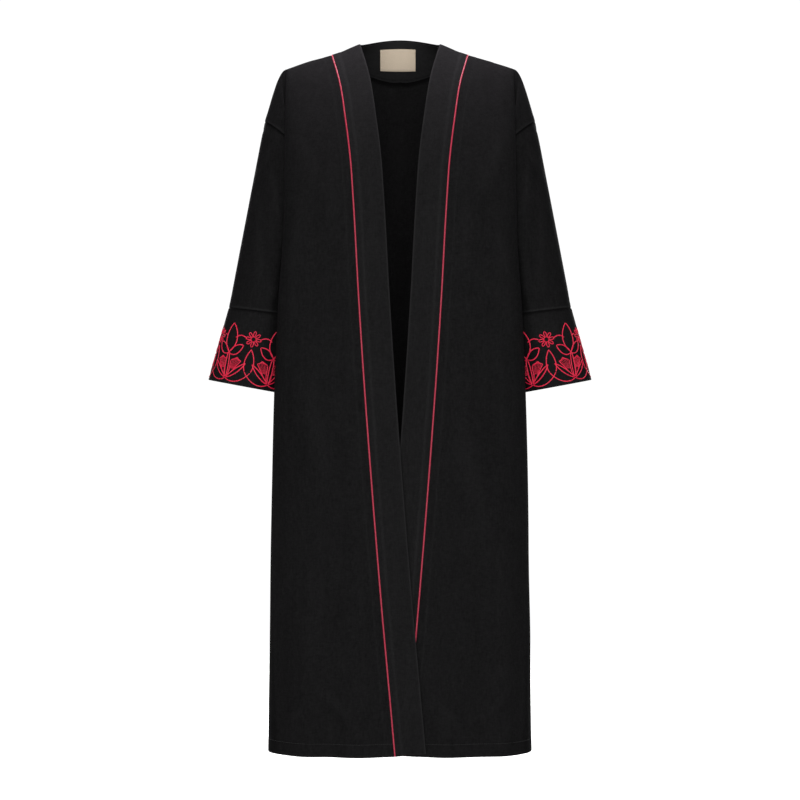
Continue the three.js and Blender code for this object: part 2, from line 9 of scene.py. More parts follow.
import bpy
import numpy as np
from bpy.props import FloatProperty, FloatVectorProperty, PointerProperty
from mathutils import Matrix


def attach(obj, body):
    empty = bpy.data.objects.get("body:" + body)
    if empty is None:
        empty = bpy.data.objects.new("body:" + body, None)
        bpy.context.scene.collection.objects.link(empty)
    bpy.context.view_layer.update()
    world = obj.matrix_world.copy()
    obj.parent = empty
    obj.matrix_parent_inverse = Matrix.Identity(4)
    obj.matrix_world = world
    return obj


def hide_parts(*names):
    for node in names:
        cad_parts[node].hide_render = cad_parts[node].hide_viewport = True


bl_info = {
    "name": "Open-front manteau",
    "version": (1, 0, 0),
    "blender": (4, 5, 0),
    "location": "View3D > Sidebar > Manteau",
    "description": "Builds a crepe manteau with piped bands and embroidered cuffs, and its studio",
    "category": "Add Mesh",
}

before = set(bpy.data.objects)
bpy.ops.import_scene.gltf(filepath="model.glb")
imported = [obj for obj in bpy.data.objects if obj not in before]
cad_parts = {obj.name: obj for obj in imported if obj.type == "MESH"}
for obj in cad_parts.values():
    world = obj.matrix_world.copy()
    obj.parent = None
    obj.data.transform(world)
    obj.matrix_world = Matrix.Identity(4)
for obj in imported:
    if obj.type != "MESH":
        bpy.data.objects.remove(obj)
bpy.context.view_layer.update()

MM = 0.001
UNDERARM_Z = -240.0
HEM_Z = -1152.0
NECK_CORNER = 112.0
NECK_DEPTH = 79.0
COLLAR_DEPTH = 65.0
COLLAR_Y = 5.0
COLLAR_RISE = 15.6
BAND_WIDTH = 50.0
SHOULDER_END = 188.0
ARMHOLE = {"foot": 140.0, "tip": 223.0, "top": -118.0, "y": 8.0, "deep": 62.0}
LAP_HALF_GAP = 2.9
FRONT_ROUND = 1.5
FACING_ANGLE = 82.0
FACING_BELOW = 21.5
FACING_TOP = 1.5
FACING_INSET = 2.2
LABEL = {"left": -33.0, "right": 26.0, "top": 14.2, "height": 38.0, "lift": 1.45}
PIPING = {"radius": 1.35, "rise": 0.7, "short": 0.4}
CUFF_SEAM = {"a": 222.0, "y": 6.0, "z": -433.0, "wide": 60.0, "deep": 62.0, "tilt": 7.5}
CUFF_HEM = {"a": 251.5, "y": 4.0, "z": -556.3, "wide": 63.7, "deep": 63.7, "tilt": 11.8}
CUFF_ROUND = 400.0
CUFF_DEEP = 127.0
SLEEVE_RADIUS = 62.0
FLOOR_REACH = 14000.0
LENS = 122.7
CAMERA_HEIGHT = -0.5775
# Lamps: the setting and the share of it that is each one's power, then size, tint, place and aim
LAMPS = (
    ("front_middle", "front_power", 0.5, 1.6, (1, 1, 1), (0, -4.4, 0.3), (0, 0, -0.55)),
    ("front_right", "front_power", 0.25, 1.4, (1, 1, 1), (-1.8, -4.1, 0.3), (0, 0, -0.55)),
    ("front_left", "front_power", 0.25, 1.4, (1, 1, 1), (1.8, -4.1, 0.3), (0, 0, -0.55)),
    ("top", "top_power", 1.0, 0.8, (1, 0.92, 1), (0, 0.05, 0.8), (0, 0, 0)),
    ("back_right", "back_power", 0.5, 1.4, (1, 1, 1), (-1.3, 4.2, 0.5), (0, 0, -0.5)),
    ("back_left", "back_power", 0.5, 1.4, (1, 1, 1), (1.5, 4.2, 0.5), (0, 0, -0.5)),
)
SIDES = {"right": -1, "left": 1}
FINISHES = {"crepe": "black crepe", "red_trim": "satin piping", "label_weave": "woven label"}
# Millimetres from the stitches to the fold; the embroidery's half units round a cuff, and where it stops
HEM_STITCHES = 21
CUFF_STITCHES = 24
HALF_UNITS = 11
UNDERARM_SEAM = (-99.0, 299.0)
EMBROIDERY_SHIFT = 2.0
EMBROIDERY_SLANT = 0.045


def table(columns, *rows):
    """A short table as one array for each named column, sorted by its first column."""
    values = np.array(sorted(rows), dtype=float)
    return dict(zip(columns.split(), values.T))


SHOULDER = table(
    "a z y round",
    (0, 20, 5, 3.23),
    (34, 16.5, 5, 3.1),
    (66, 9.5, 5, 2.85),
    (82, 3, 5, 2.7),
    (97, -3.5, 5, 2.55),
    (112, -8.5, 5, 2.35),
    (142, -16.5, 6, 1.9),
    (163, -23, 7, 1.7),
    (188, -31.5, 8, 1.55),
)
FRONT_SECTIONS = table(
    "z width depth fold reach turn wrap",
    (-240, 187, 122, 72, 90, 20, 95),
    (-330, 190.5, 126, 70, 90, 24, 88),
    (-430, 198.5, 127, 60, 85, 30, 70),
    (-560, 205, 128, 50, 80, 30, 60),
    (-680, 209, 128, 38, 75, 30, 50),
    (-860, 213, 128, 20, 69, 30, 40),
    (-1152, 216, 127, 0, 58, 34, 42),
)
BACK_SECTIONS = table(
    "z width depth fold reach turn wrap",
    (-240, 180, 108, 84, 90, 20, 95),
    (-330, 184, 110, 82, 89, 24, 88),
    (-430, 190, 112, 77, 86, 30, 75),
    (-560, 197, 114, 62, 82, 30, 62),
    (-680, 204, 118, 44, 77, 30, 50),
    (-860, 211, 122, 22, 70, 30, 40),
    (-1152, 216, 130, 0, 62, 30, 30),
)
SIDE_SEAM = table(
    "z a y",
    (-240, 140, 8),
    (-262, 137, 8),
    (-296, 139.5, 8),
    (-340, 144, 8),
    (-430, 152, 7),
    (-556, 178, 6),
    (-680, 197, 5),
    (-860, 209, 4),
    (-1152, 216, 3),
)
BAND_SEAM = table(
    "z a",
    (-1152, 8),
    (-1059, 16),
    (-898, 30.5),
    (-577, 55.5),
    (-417, 66),
    (-256, 75),
    (-190, 80),
    (-124, 88.5),
    (-68, 97),
    (-8.5, 112),
)
# Hanging folds: place across, half width and height at the hem, and the height where each begins
HANGING_FOLDS = {
    "front_right": table("a wide high begins", (62, 30, 3.5, -420), (112, 26, -4, -330), (158, 24, 4, -380)),
    "front_left": table("a wide high begins", (70, 28, 3, -460), (124, 28, -4, -350), (166, 22, 3.5, -420)),
    "back": table(
        "a wide high begins",
        (-150, 26, 5, -380),
        (-98, 28, -6, -320),
        (-40, 30, 6, -420),
        (18, 28, -5, -360),
        (74, 30, 6, -300),
        (132, 28, -6, -400),
    ),
}
# Faint creases placed one by one: place across and height, lean from the upright in degrees, half
# length, half width and height of the ridge
CREASES = {
    "front_right": table(
        "a z lean long wide high",
        (88, -1085, 38, 34, 6, 0.9),
        (112, -1060, 50, 26, 6, 0.7),
        (164, -1078, -40, 24, 6, 0.7),
        (132, -640, 12, 90, 16, 0.8),
        (96, -300, 9, 80, 14, 0.7),
        (150, -190, 20, 46, 12, 0.9),
        (168, -330, -8, 60, 10, 0.9),
    ),
    "front_left": table(
        "a z lean long wide high",
        (84, -1090, -36, 28, 6, 0.8),
        (154, -1070, 44, 30, 6, 0.8),
        (120, -700, -10, 100, 18, 0.9),
        (104, -320, 7, 70, 14, 0.7),
        (148, -200, 22, 50, 12, 0.9),
        (170, -360, -6, 70, 10, 0.8),
    ),
    "back": table(
        "a z lean long wide high",
        (-118, -150, 30, 60, 14, 1.2),
        (112, -158, -32, 64, 14, 1.2),
        (-30, -1080, 40, 30, 7, 0.9),
        (96, -1074, -42, 28, 7, 0.9),
        (-150, -420, 10, 110, 14, 1.2),
        (146, -430, -12, 100, 14, 1.2),
        (20, -560, 6, 150, 22, 1.0),
    ),
}
# Creases of a sleeve: turn round it in degrees from its outer line, millimetres below the armhole
SLEEVE_CREASES = table(
    "turn down lean long wide high",
    (35, 62, 24, 46, 8, 1.0),
    (78, 105, -30, 52, 9, 1.2),
    (60, 190, -18, 60, 10, 1.1),
    (100, 240, 24, 44, 8, 0.9),
    (250, 160, -26, 58, 10, 1.4),
    (300, 86, 28, 56, 9, 1.3),
    (310, 230, 20, 46, 9, 1.0),
)


# Curves and tables


def smooth(value):
    """Rises from 0 to 1 as 3v squared less 2v cubed, and is level outside."""
    v = np.clip(value, 0.0, 1.0)
    return v * v * (3.0 - 2.0 * v)


def bell(distance, width, place=0.0):
    """Falls from 1 at a place as e to the power of minus the square of distance over width."""
    return np.exp(-(((distance - place) / width) ** 2))


def read(rows, column, at, key="z"):
    """Reads a column on a cubic through its rows; the slope at a row is the mean of the two beside it."""
    x, v = rows[key], rows[column]
    rise = np.diff(v) / np.diff(x)
    slope = np.concatenate(([rise[0]], (rise[1:] + rise[:-1]) / 2, [rise[-1]]))
    place = np.clip(at, x[0], x[-1])
    i = np.clip(np.searchsorted(x, place, side="right") - 1, 0, len(x) - 2)
    h = x[i + 1] - x[i]
    s = (place - x[i]) / h
    ends = v[i] * (2 * s**3 - 3 * s**2 + 1) + v[i + 1] * (3 * s**2 - 2 * s**3)
    return ends + h * ((s**3 - 2 * s**2 + s) * slope[i] + (s**3 - s**2) * slope[i + 1])


def points(x, y, z):
    """Stacks three arrays of places, stretched to one shape, into an array of points."""
    return np.stack(np.broadcast_arrays(x, y, z), axis=-1).astype(float)


def unit(vectors):
    """Vectors brought to length one."""
    return vectors / np.maximum(np.linalg.norm(vectors, axis=-1, keepdims=True), 1e-9)


def run_along(grid, axis):
    """Length along a row (axis 1) or down a column (axis 0), summed from its first point."""
    steps = np.linalg.norm(np.diff(grid, axis=axis), axis=-1)
    pad = [(0, 0), (0, 0)]
    pad[axis] = (1, 0)
    return np.pad(np.cumsum(steps, axis=axis), pad)


def line_run(line):
    """Length along one line of points, summed from its first point."""
    return np.concatenate(([0.0], np.cumsum(np.linalg.norm(np.diff(line, axis=0), axis=1))))


def read_line(line, run, at):
    """The points of a line at places given on its run, read straight between its own points."""
    return np.stack([np.interp(at, run, values) for values in line.T], axis=-1)


def from_ends(run):
    """Distance from the nearer end of a run, or of each row of runs."""
    return np.minimum(run, run[..., -1:] - run)


def cubic(s, corners):
    """A Bezier curve: four corners, weighted by the products of the powers of s and of 1 less s."""
    weights = ((1 - s) ** 3, 3 * s * (1 - s) ** 2, 3 * s**2 * (1 - s), s**3)
    return sum(w * p for w, p in zip(weights, corners))


def normals_of(grid, sign, closed=False):
    """Normals from the cross product of the differences across and down the grid."""
    across = np.roll(grid, -1, 1) - np.roll(grid, 1, 1) if closed else np.gradient(grid, axis=1)
    return unit(np.cross(across, np.gradient(grid, axis=0)) * sign)


def rounded(distance, radius):
    """Share of the full thickness at a distance from a folded edge: a quarter circle of that radius."""
    inside = np.clip(1 - distance / radius, 0.0, 1.0)
    return np.maximum(0.03, np.sqrt(1 - inside**2))


# Sections of the body


def section(face, z):
    """The sizes of a level section at height z, read from the front's or the back's table."""
    rows = FRONT_SECTIONS if face < 0 else BACK_SECTIONS
    return {name: read(rows, name, z) for name in ("width", "depth", "fold", "reach", "turn", "wrap")}


def arc_depth(cut, a):
    """Main arc: the fold's depth, and the rest times the cube root of 1 less the cube of a over width."""
    rest = np.cbrt(np.maximum(0.0, 1 - np.abs(a / cut["width"]) ** 3))
    return cut["fold"] + (cut["depth"] - cut["fold"]) * rest


def arc_place(width, angle):
    """Place across at an angle of the main arc: the width times the sine to the power two thirds."""
    return width * np.sin(angle) ** (2 / 3)


def arc_angle(width, a):
    """The angle of a place on the main arc: the arcsine of a over width to the power three halves."""
    return np.arcsin(np.minimum(1.0, np.abs(a) / width) ** 1.5)


def upper_cut(face, t):
    """Sizes above the underarm: those at the underarm, drawn in to the shoulder's end as t falls to 0."""
    cut = section(face, np.float64(UNDERARM_Z))
    return {**cut, "width": SHOULDER_END + (cut["width"] - SHOULDER_END) * t}


def upper_point(face, a, angle, t):
    """Falls from the shoulder line to the underarm on a quarter superellipse of the shoulder's roundness."""
    top_z, top_y = (read(SHOULDER, name, np.abs(a), "a") for name in ("z", "y"))
    power = 2 / (FRONT_ROUND if face < 0 else read(SHOULDER, "round", np.abs(a), "a"))
    out = np.maximum(0.0, np.sin(angle)) ** power
    down = np.maximum(0.0, np.cos(angle)) ** power
    y = top_y + (face * arc_depth(upper_cut(face, t), a) - top_y) * out
    return points(a, y, UNDERARM_Z + (top_z - UNDERARM_Z) * down)


def neck_lean(a):
    """A quarter circle each way: 1 at the middle of the back, and 0 from the neck's corners out."""
    return np.sqrt(np.maximum(0.0, 1 - (a / NECK_CORNER) ** 2))


def neckline_angle(a, t):
    """Where a line of the back starts: the angle whose fall reaches the half ellipse of the neckline."""
    span = arc_depth(upper_cut(1, t), a) - read(SHOULDER, "y", a, "a")
    back = NECK_DEPTH * neck_lean(a)
    return np.arcsin(np.minimum(1.0, back / span) ** (read(SHOULDER, "round", a, "a") / 2))


def armhole_point(face, t):
    """The armhole ring from the shoulder's tip to the underarm, on powers of the height that is left.

    The factor 2.377 brings the widest place of the product of powers to the full depth.
    """
    up = 1 - t**1.6
    deep = ARMHOLE["deep"] * 2.377 * up**0.8 * np.sqrt(np.maximum(0.0, 1 - up))
    a = ARMHOLE["foot"] + (ARMHOLE["tip"] - ARMHOLE["foot"]) * up**2.2
    return points(a, ARMHOLE["y"] + face * deep, UNDERARM_Z + (ARMHOLE["top"] - UNDERARM_Z) * up)


def bezier(start, heading, turn, end, arrival, wrap, s):
    """One cubic curve for each row, with handles of length turn and wrap along heading and arrival."""
    corners = (start, start + heading * turn, end - arrival * wrap, end)
    return cubic(s[None, :, None], [corner[:, None, :] for corner in corners])


def upper_strip(face, fold, t, s):
    """The cloth from the fold beside the sleeve to the armhole, turning from across to straight back."""
    end = armhole_point(face, t)
    length = np.linalg.norm(end - fold, axis=-1)[:, None]
    blend = (t**2)[:, None]
    heading = unit(np.array([0.95, 0, -0.2]) * (1 - blend) + np.array([0, -face, 0]) * blend)
    arrival = unit(np.array([0.3, 0, -0.95]) * (1 - blend) + np.array([0.09, -face, 0]) * blend)
    turn, wrap = length * (0.15 + 0.05 * blend), length * (0.42 + 0.53 * blend)
    return bezier(fold, heading, turn, end, arrival, wrap, s)


def lower_strip(face, z, cut, fold, s):
    """The cloth from the fold at the side to the side seam, leaving on the main arc's own slope."""
    angle = np.radians(cut["reach"])
    across = cut["width"] * np.sin(angle) ** (-1 / 3) * np.maximum(0.0, np.cos(angle)) ** (4 / 3)
    heading = unit(points(across, -face * (cut["depth"] - cut["fold"]) * np.sin(angle), 0))
    end = points(read(SIDE_SEAM, "a", z), read(SIDE_SEAM, "y", z), z)
    arrival = unit(points(0.09 * smooth((z + 600) / 300), -face, 0))
    length = np.linalg.norm(end - fold, axis=-1)
    near = 1 - smooth((UNDERARM_Z - z) / 22)
    turn = cut["turn"] + (0.2 * length - cut["turn"]) * near
    wrap = cut["wrap"] + (0.95 * length - cut["wrap"]) * near
    return bezier(fold, heading, turn[:, None], end, arrival, wrap[:, None], s)


# Rows run down the garment and columns across it
STEPS = np.linspace(0, 1, 76)
UPPER_T = 0.5 * STEPS + 0.25 * (1 - np.cos(np.pi * STEPS))
LOWER_Z = np.concatenate(
    (
        np.linspace(UNDERARM_Z, -1000, 84)[1:],
        np.linspace(-1000, HEM_Z + 4, 44)[1:],
        HEM_Z + np.array([2.6, 1.4, 0.8, 0.35, 0.1, 0.0]),
    )
)
UPPER = len(UPPER_T)
NEAR_SEAM = np.array(
    [0.9, 1.2, 1.6, 2.2, 3.2, 4.6, 6.2, 8.2, 10.2, 12, 13.2, 14.2, 15.2, 16.4, 18.4, 21, 24.5]
)
BAND_STEPS = np.concatenate(
    (NEAR_SEAM[:-2], np.linspace(20.5, 46.5, 14), [47.6, 48.4, 48.9, 49.3, 49.6, 49.85, 49.97])
)
STRIP_S = np.concatenate((np.linspace(0, 1, 33)[1:-1], 1 - np.array([0.02, 0.012, 0.006, 0.002])))
ARC_STEPS = 50
FOLD_COLUMN = len(NEAR_SEAM) + ARC_STEPS - 2
CUFF_ROWS = np.concatenate(
    (
        [0.15, 0.4, 0.9, 1.8, 3, 4.5, 6.5],
        np.linspace(9, CUFF_DEEP - 6, 34),
        CUFF_DEEP - np.array([3.5, 2, 1.2, 0.7, 0.35, 0.1, 0]),
    )
)
CUFF_SHARE = CUFF_ROWS / CUFF_DEEP
LABEL_EDGE = np.array([0, 0.15, 0.45, 0.9])
LABEL_DOWN, LABEL_ACROSS = (
    np.concatenate((LABEL_EDGE, np.linspace(1.5, length - 1.5, count), length - LABEL_EDGE[::-1]))
    for length, count in ((LABEL["height"], 26), (LABEL["right"] - LABEL["left"], 38))
)
NECK_TURN = np.radians(np.linspace(-90, 90, 65))


def with_side(face, main):
    """The main arc's grid, and beside it the strips from its fold to the armhole and the side seam."""
    top = upper_strip(face, main[:UPPER, -1], UPPER_T, STRIP_S)
    low = lower_strip(face, LOWER_Z, section(face, LOWER_Z), main[UPPER:, -1], STRIP_S)
    return np.concatenate((main, np.concatenate((top, low))), axis=1)


def front_points(a):
    """Points on a half front's main arc, for the places across in each row."""
    t, z = UPPER_T[:, None], LOWER_Z[:, None]
    top = upper_point(-1, a[:UPPER], t * np.pi / 2, t)
    return np.concatenate((top, points(a[UPPER:], -arc_depth(section(-1, z), a[UPPER:]), z)))


def front_levels():
    """Width, seam place and end angle of each row of a half front, as columns."""
    fall = np.maximum(0.0, np.cos(UPPER_T * np.pi / 2)) ** (2 / FRONT_ROUND)
    top = read(SHOULDER, "z", NECK_CORNER, "a")
    low = section(-1, LOWER_Z)
    seam_z = np.concatenate((UNDERARM_Z + (top - UNDERARM_Z) * fall, LOWER_Z))
    width = np.concatenate((upper_cut(-1, UPPER_T)["width"], low["width"]))
    reach = np.concatenate((np.full(UPPER, np.pi / 2), np.radians(low["reach"])))
    return width[:, None], read(BAND_SEAM, "a", seam_z)[:, None], reach[:, None]


def along_row(seam, way, distances):
    """Places across whose length along the row from the seam is each of the distances."""
    a = seam + way * np.linspace(0, 56, 57)[None, :]
    run = run_along(front_points(a), 1)
    return np.stack([np.interp(distances, r, places) for r, places in zip(run, a)])


def front_grid():
    """A half front at a > 0: fine columns by the seam, the main arc, then the strip to the side."""
    width, seam, reach = front_levels()
    near = along_row(seam, 1, NEAR_SEAM)
    start = arc_angle(width, near[:, -1:])
    far = arc_place(width, start + (reach - start) * np.linspace(0, 1, ARC_STEPS)[None, 1:])
    return with_side(-1, front_points(np.concatenate((near, far), axis=1)))


def band_grid():
    """A front band at a > 0, measured off along each row from the seam to its folded edge."""
    return front_points(along_row(front_levels()[1], -1, BAND_STEPS))


def back_grid():
    """The whole back: neck columns that start at the neckline, shoulder columns, then the strips."""
    cut = NECK_CORNER * np.sin(NECK_TURN[NECK_TURN >= 0])[None, :]
    even = np.linspace(0, NECK_CORNER, cut.shape[1])[None, :]
    t, z = UPPER_T[:, None], LOWER_Z[:, None]
    low = section(1, z)
    upper, corner = upper_cut(1, t), np.linspace(0, 1, 30)[None, 1:]
    neck_a = cut + (even - cut) * smooth(t / 0.6)
    start = neckline_angle(cut, t)
    start_angle = arc_angle(upper["width"], NECK_CORNER)
    side_a = arc_place(upper["width"], start_angle + (np.pi / 2 - start_angle) * corner)
    top = np.concatenate(
        (
            upper_point(1, neck_a, start + (np.pi / 2 - start) * t, t),
            upper_point(1, side_a, np.pi / 2 * t, t),
        ),
        axis=1,
    )
    low_angle = arc_angle(low["width"], NECK_CORNER)
    low_a = arc_place(low["width"], low_angle + (np.radians(low["reach"]) - low_angle) * corner)
    low_a = np.concatenate((np.broadcast_to(even, (len(z), even.shape[1])), low_a), axis=1)
    main = np.concatenate((top, points(low_a, arc_depth(low, low_a), z)))
    half = with_side(1, main)
    return np.concatenate((half[:, :0:-1] * [-1, 1, 1], half), axis=1)


# Drape and relief


def drape(piece, side, grid):
    """Adds hanging folds (bell curves across that grow downwards), the fronts' lap and the hem's rise."""
    a, y, z = (grid[..., k].copy() for k in range(3))
    face = 1 if piece == "back" else -1
    if face > 0:
        clear = smooth((200 - np.abs(a)) / 40)
    else:
        clear = smooth((a - 15) / 50) * smooth((198 - a) / 30)
    clear = clear * smooth((y * face - 12) / 16)
    folds = HANGING_FOLDS[piece]
    down = smooth((folds["begins"] - z[..., None]) / (folds["begins"] - HEM_Z))
    bells = bell(a[..., None], folds["wide"], folds["a"]) * folds["high"] * down
    dressed_y = y + face * clear * bells.sum(-1)
    if face < 0:
        dressed_y += side * LAP_HALF_GAP * smooth((-400 - z) / 200) * smooth((110 - a) / 60)
        rise = np.where(a < 8, 2.5 + (8 - a) * 0.08, 2.5 * np.clip((100 - a) / 92, 0, 1) ** 2)
        z = z + rise * smooth(1 - (z - HEM_Z) / 100) * smooth((-y - 10) / 20)
    return points(a * (side or 1), dressed_y, z)


def crease_relief(creases, across, down):
    """Sum of crease crests: a bell along and across a leaning line that bends a little, with a trough beside
    it.
    """
    u0, v0 = np.subtract.outer(across, creases["a"]), np.subtract.outer(down, creases["z"])
    lean = np.radians(creases["lean"])
    u = u0 * np.cos(lean) - v0 * np.sin(lean)
    v = u0 * np.sin(lean) + v0 * np.cos(lean)
    u = (u + 0.12 * creases["wide"] * (v / creases["long"]) ** 2) / creases["wide"]
    ridge = bell(u, 1) - 0.55 * bell(u, 1.25, 1.7)
    return (creases["high"] * ridge * bell(v, creases["long"])).sum(-1)


def hanging_ripple(seed, across, z, high):
    """Six seeded sine waves across, 44 to 110 mm long, that wander with height and grow downwards."""
    chance = np.random.default_rng(seed)
    ranges = ((44, 110), (0, 6.3), (0.3, 1.1), (260, 700))
    wave, phase, wander, slow = (chance.uniform(*ends, 6) for ends in ranges)
    swing = wander * np.sin(2 * np.pi * z[..., None] / slow + phase * 1.7)
    waves = np.sin(2 * np.pi * across[..., None] / wave + phase + swing) / np.sqrt(6)
    return high * waves.sum(-1) * (0.35 + 0.65 * smooth((-150 - z) / 800))


def seam_relief(distance, along, seed, dip=0.5, allowance=14.0, raised=0.32):
    """Beside a seam the cloth dips into it, stands up over the allowance, and puckers in short waves."""
    chance = np.random.default_rng(seed)
    wave, phase = chance.uniform(15, 27, 4), chance.uniform(0, 6.3, 4)
    pucker = np.sin(2 * np.pi * along[..., None] / wave + phase).sum(-1) / 4
    over = smooth((allowance + 0.9 - distance) / 1.8)
    return raised * over + 0.2 * pucker * bell(distance, 11) - (dip + raised) * bell(distance, 1.3)


def body_relief(look, node, across, z, hem_away, calm, seed):
    """Creases and ripples where the cloth is calm, and the turned hem; then painted highlights on the
    creases' crests and painted shade in their troughs.
    """
    creases = calm * look.crease_height * crease_relief(CREASES[node], across, z)
    ripple = calm * hanging_ripple(seed, across, z, look.ripple_height / MM)
    hem = 0.22 * smooth((22 - hem_away) / 2.4) - 0.2 * bell(hem_away, 2.2, 23)
    # The second value is painted light: paler along the crease crests, a little darker in their troughs.
    return creases + ripple + hem, 0.16 * np.clip(creases, -0.3, 1.0)


def turned_in(seam_away, wide, hem_away):
    """Cloth added inside, where a seam's allowance and the hem are turned in."""
    return 0.35 * smooth((wide - seam_away) / 2) + 0.35 * smooth((20 - hem_away) / 2) * smooth(hem_away / 2)


# Meshes


def put_mesh(name, places, quads, uv=None, edge=0.0):
    """A smooth mesh from places in millimetres, quads, and a map and a mask of painted light and shade for
    each place.
    """
    mesh = bpy.data.meshes.new(name)
    mesh.vertices.add(len(places))
    mesh.loops.add(quads.size)
    mesh.polygons.add(len(quads))
    mesh.vertices.foreach_set("co", (places * MM).astype(np.float32).ravel())
    mesh.loops.foreach_set("vertex_index", quads.astype(np.int32).ravel())
    mesh.polygons.foreach_set("loop_start", np.arange(0, quads.size, 4, dtype=np.int32))
    mesh.polygons.foreach_set("use_smooth", np.ones(len(quads), dtype=bool))
    if uv is not None:
        mesh.uv_layers.new(name="laid flat")
        mesh.uv_layers[0].data.foreach_set("uv", (uv[quads.ravel()] * MM).astype(np.float32).ravel())
    # The edge attribute is painted light: above 0 a painted highlight, below 0 painted shade.
    mask = mesh.attributes.new("edge", "FLOAT", "POINT")
    mask.data.foreach_set("value", np.full(len(places), edge, np.float32))
    mesh.update(calc_edges=True)
    if mesh.validate():
        raise RuntimeError(f"{name} has faces that don't fit together")
    piece = bpy.data.objects.new(name, mesh)
    if piece.name != name:
        raise RuntimeError(f"{name} is taken")
    bpy.context.scene.collection.objects.link(piece)
    return piece


def finish_piece(piece, slot, node=None):
    """Gives a piece the material named by its slot, and sets it in the place of a node of the frame."""
    piece.data.materials.append(bpy.data.materials[FINISHES[slot]])
    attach(piece, "root")
    if node:
        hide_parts(node)
    return piece


def grid_quads(rows, columns, closed=False):
    """Index quads of a grid, down then across, with the last column joined to the first where closed."""
    r = np.arange(rows - 1)[:, None]
    c = np.arange(columns if closed else columns - 1)[None, :]
    here, after = r * columns + c, r * columns + (c + 1) % columns
    return np.stack((here, here + columns, after + columns, after), axis=-1).reshape(-1, 4)


def rim_quads(rows, columns, closed=False):
    """Quads that join the two faces of a wall round its edges."""
    inner = rows * columns
    c = np.arange(columns if closed else columns - 1)
    n = (c + 1) % columns
    base = (rows - 1) * columns
    rims = [
        np.stack((c, n, inner + n, inner + c), axis=-1),
        np.stack((base + n, base + c, inner + base + c, inner + base + n), axis=-1),
    ]
    if not closed:
        r = np.arange(rows - 1) * columns
        last = r + columns - 1
        rims.append(np.stack((r + columns, r, inner + r, inner + r + columns), axis=-1))
        rims.append(np.stack((last, last + columns, inner + last + columns, inner + last), axis=-1))
    return np.concatenate(rims)


def cloth_wall(name, grid, sign, thick, relief=0.0, edge=0.0, lining=0.0, closed=False, inner_edge=None):
    """A closed wall of cloth: the grid, lifted by its relief, moved half its thickness to each side."""
    shape = grid.shape[:2]
    relief, half, lining = (np.broadcast_to(v, shape)[..., None] for v in (relief, thick / 2, lining))
    middle = grid + normals_of(grid, sign, closed) * relief
    normals = normals_of(middle, sign, closed)
    faces = (middle + normals * half, middle - normals * (half + lining))
    outer = grid_quads(*shape, closed)
    quads = np.concatenate((outer, outer[:, ::-1] + shape[0] * shape[1], rim_quads(*shape, closed)))
    if sign > 0:
        quads = quads[:, ::-1]
    flat = np.stack((run_along(grid, 1), run_along(grid, 0)), axis=-1).reshape(-1, 2)
    masks = (edge, edge if inner_edge is None else inner_edge)
    mask = np.concatenate([np.broadcast_to(face, shape).ravel() for face in masks])
    return put_mesh(f"{name}_cloth", np.stack(faces).reshape(-1, 3), quads, np.tile(flat, (2, 1)), mask)


def sew(node, slot, held, rests_on, *wall, **more):
    """Builds a cloth wall in the place of its node."""
    piece = finish_piece(cloth_wall(node, *wall, **more), slot, node)


def tube(name, centres, normals, radius, sides=10):
    """A round cord: a circle carried along the centres, drawn in to a small ring at each end."""
    along = unit(np.gradient(centres, axis=0))
    across = unit(np.cross(along, normals))
    out = np.cross(across, along)
    run = line_run(centres)
    full = radius * rounded(from_ends(run) + 0.02, radius)
    angle = np.linspace(0, 2 * np.pi, sides, endpoint=False)[None, :, None]
    circle = across[:, None] * np.cos(angle) + out[:, None] * np.sin(angle)
    places = centres[:, None] + full[:, None, None] * circle
    ring = np.arange(sides // 2 - 1)
    cap = np.stack((ring, ring + 1, sides - 2 - ring, sides - 1 - ring), axis=-1)
    tail = (len(centres) - 1) * sides
    quads = np.concatenate((grid_quads(len(centres), sides, True)[:, ::-1], cap, cap[:, ::-1] + tail))
    flat = points(run[:, None], np.linspace(0, 2 * np.pi * radius, sides)[None, :], 0)[..., :2]
    return put_mesh(f"{name}_cord", places.reshape(-1, 3), quads, flat.reshape(-1, 2))


# Sleeves and cuffs


def ring_point(ring, angle):
    """A slanted ellipse: wide times cosine across, deep times minus sine, and tilt times cosine up."""
    return points(
        ring["a"] + ring["wide"] * np.cos(angle),
        ring["y"] - ring["deep"] * np.sin(angle),
        ring["z"] + ring["tilt"] * np.cos(angle),
    )


def ring_share(angle):
    """Share of the way from the armhole's top to the underarm, at a turn round it."""
    return np.where(angle <= np.pi, angle / np.pi, 2 - angle / np.pi)


def front_or_back(angle, front, back):
    """The front's points at turns from 0 to pi, and the back's on to two pi."""
    return np.where((angle <= np.pi)[..., None], front, back)


def loft(first, last, share):
    """Straight lines from one ring to the other, at each share of the way."""
    return first[None] + (last - first)[None] * share[:, None, None]


def sleeve_grid(angle, share, front_side, back_side):
    """The sleeve's loft, with its first 22 mm held off the body where it folds back beside it."""
    t = ring_share(angle)
    armhole = front_or_back(angle, armhole_point(-1, t), armhole_point(1, t))
    grid = loft(armhole, ring_point(CUFF_SEAM, angle), share)
    sides = (read_line(side, UPPER_T, t) for side in (front_side, back_side))
    body = unit(front_or_back(angle, *sides))
    turn = (body * normals_of(grid, 1, True)[0]).sum(-1)
    seat = body * np.where(turn < 0.9, 2.1 * (1 - turn) / 2, 0.0)[:, None]
    return grid + seat[None] * np.maximum(0.0, 1 - share / 0.07)[:, None, None]


def cuff_point(side, round_mm, height, lift):
    """A point on a cuff's outside, from millimetres round it, height above its hem and lift off its cloth."""
    angle = (np.pi / 2 - 2 * np.pi * round_mm / CUFF_ROUND) % (2 * np.pi)
    share = (1 - height / CUFF_DEEP)[..., None]
    first, last = ring_point(CUFF_SEAM, angle), ring_point(CUFF_HEM, angle)
    centre = first + (last - first) * share
    ahead = ring_point(CUFF_SEAM, angle + 0.01) * (1 - share) + ring_point(CUFF_HEM, angle + 0.01) * share
    out = unit(np.cross(ahead - centre, last - first))
    return (centre + out * lift[..., None]) * [side, 1, 1]


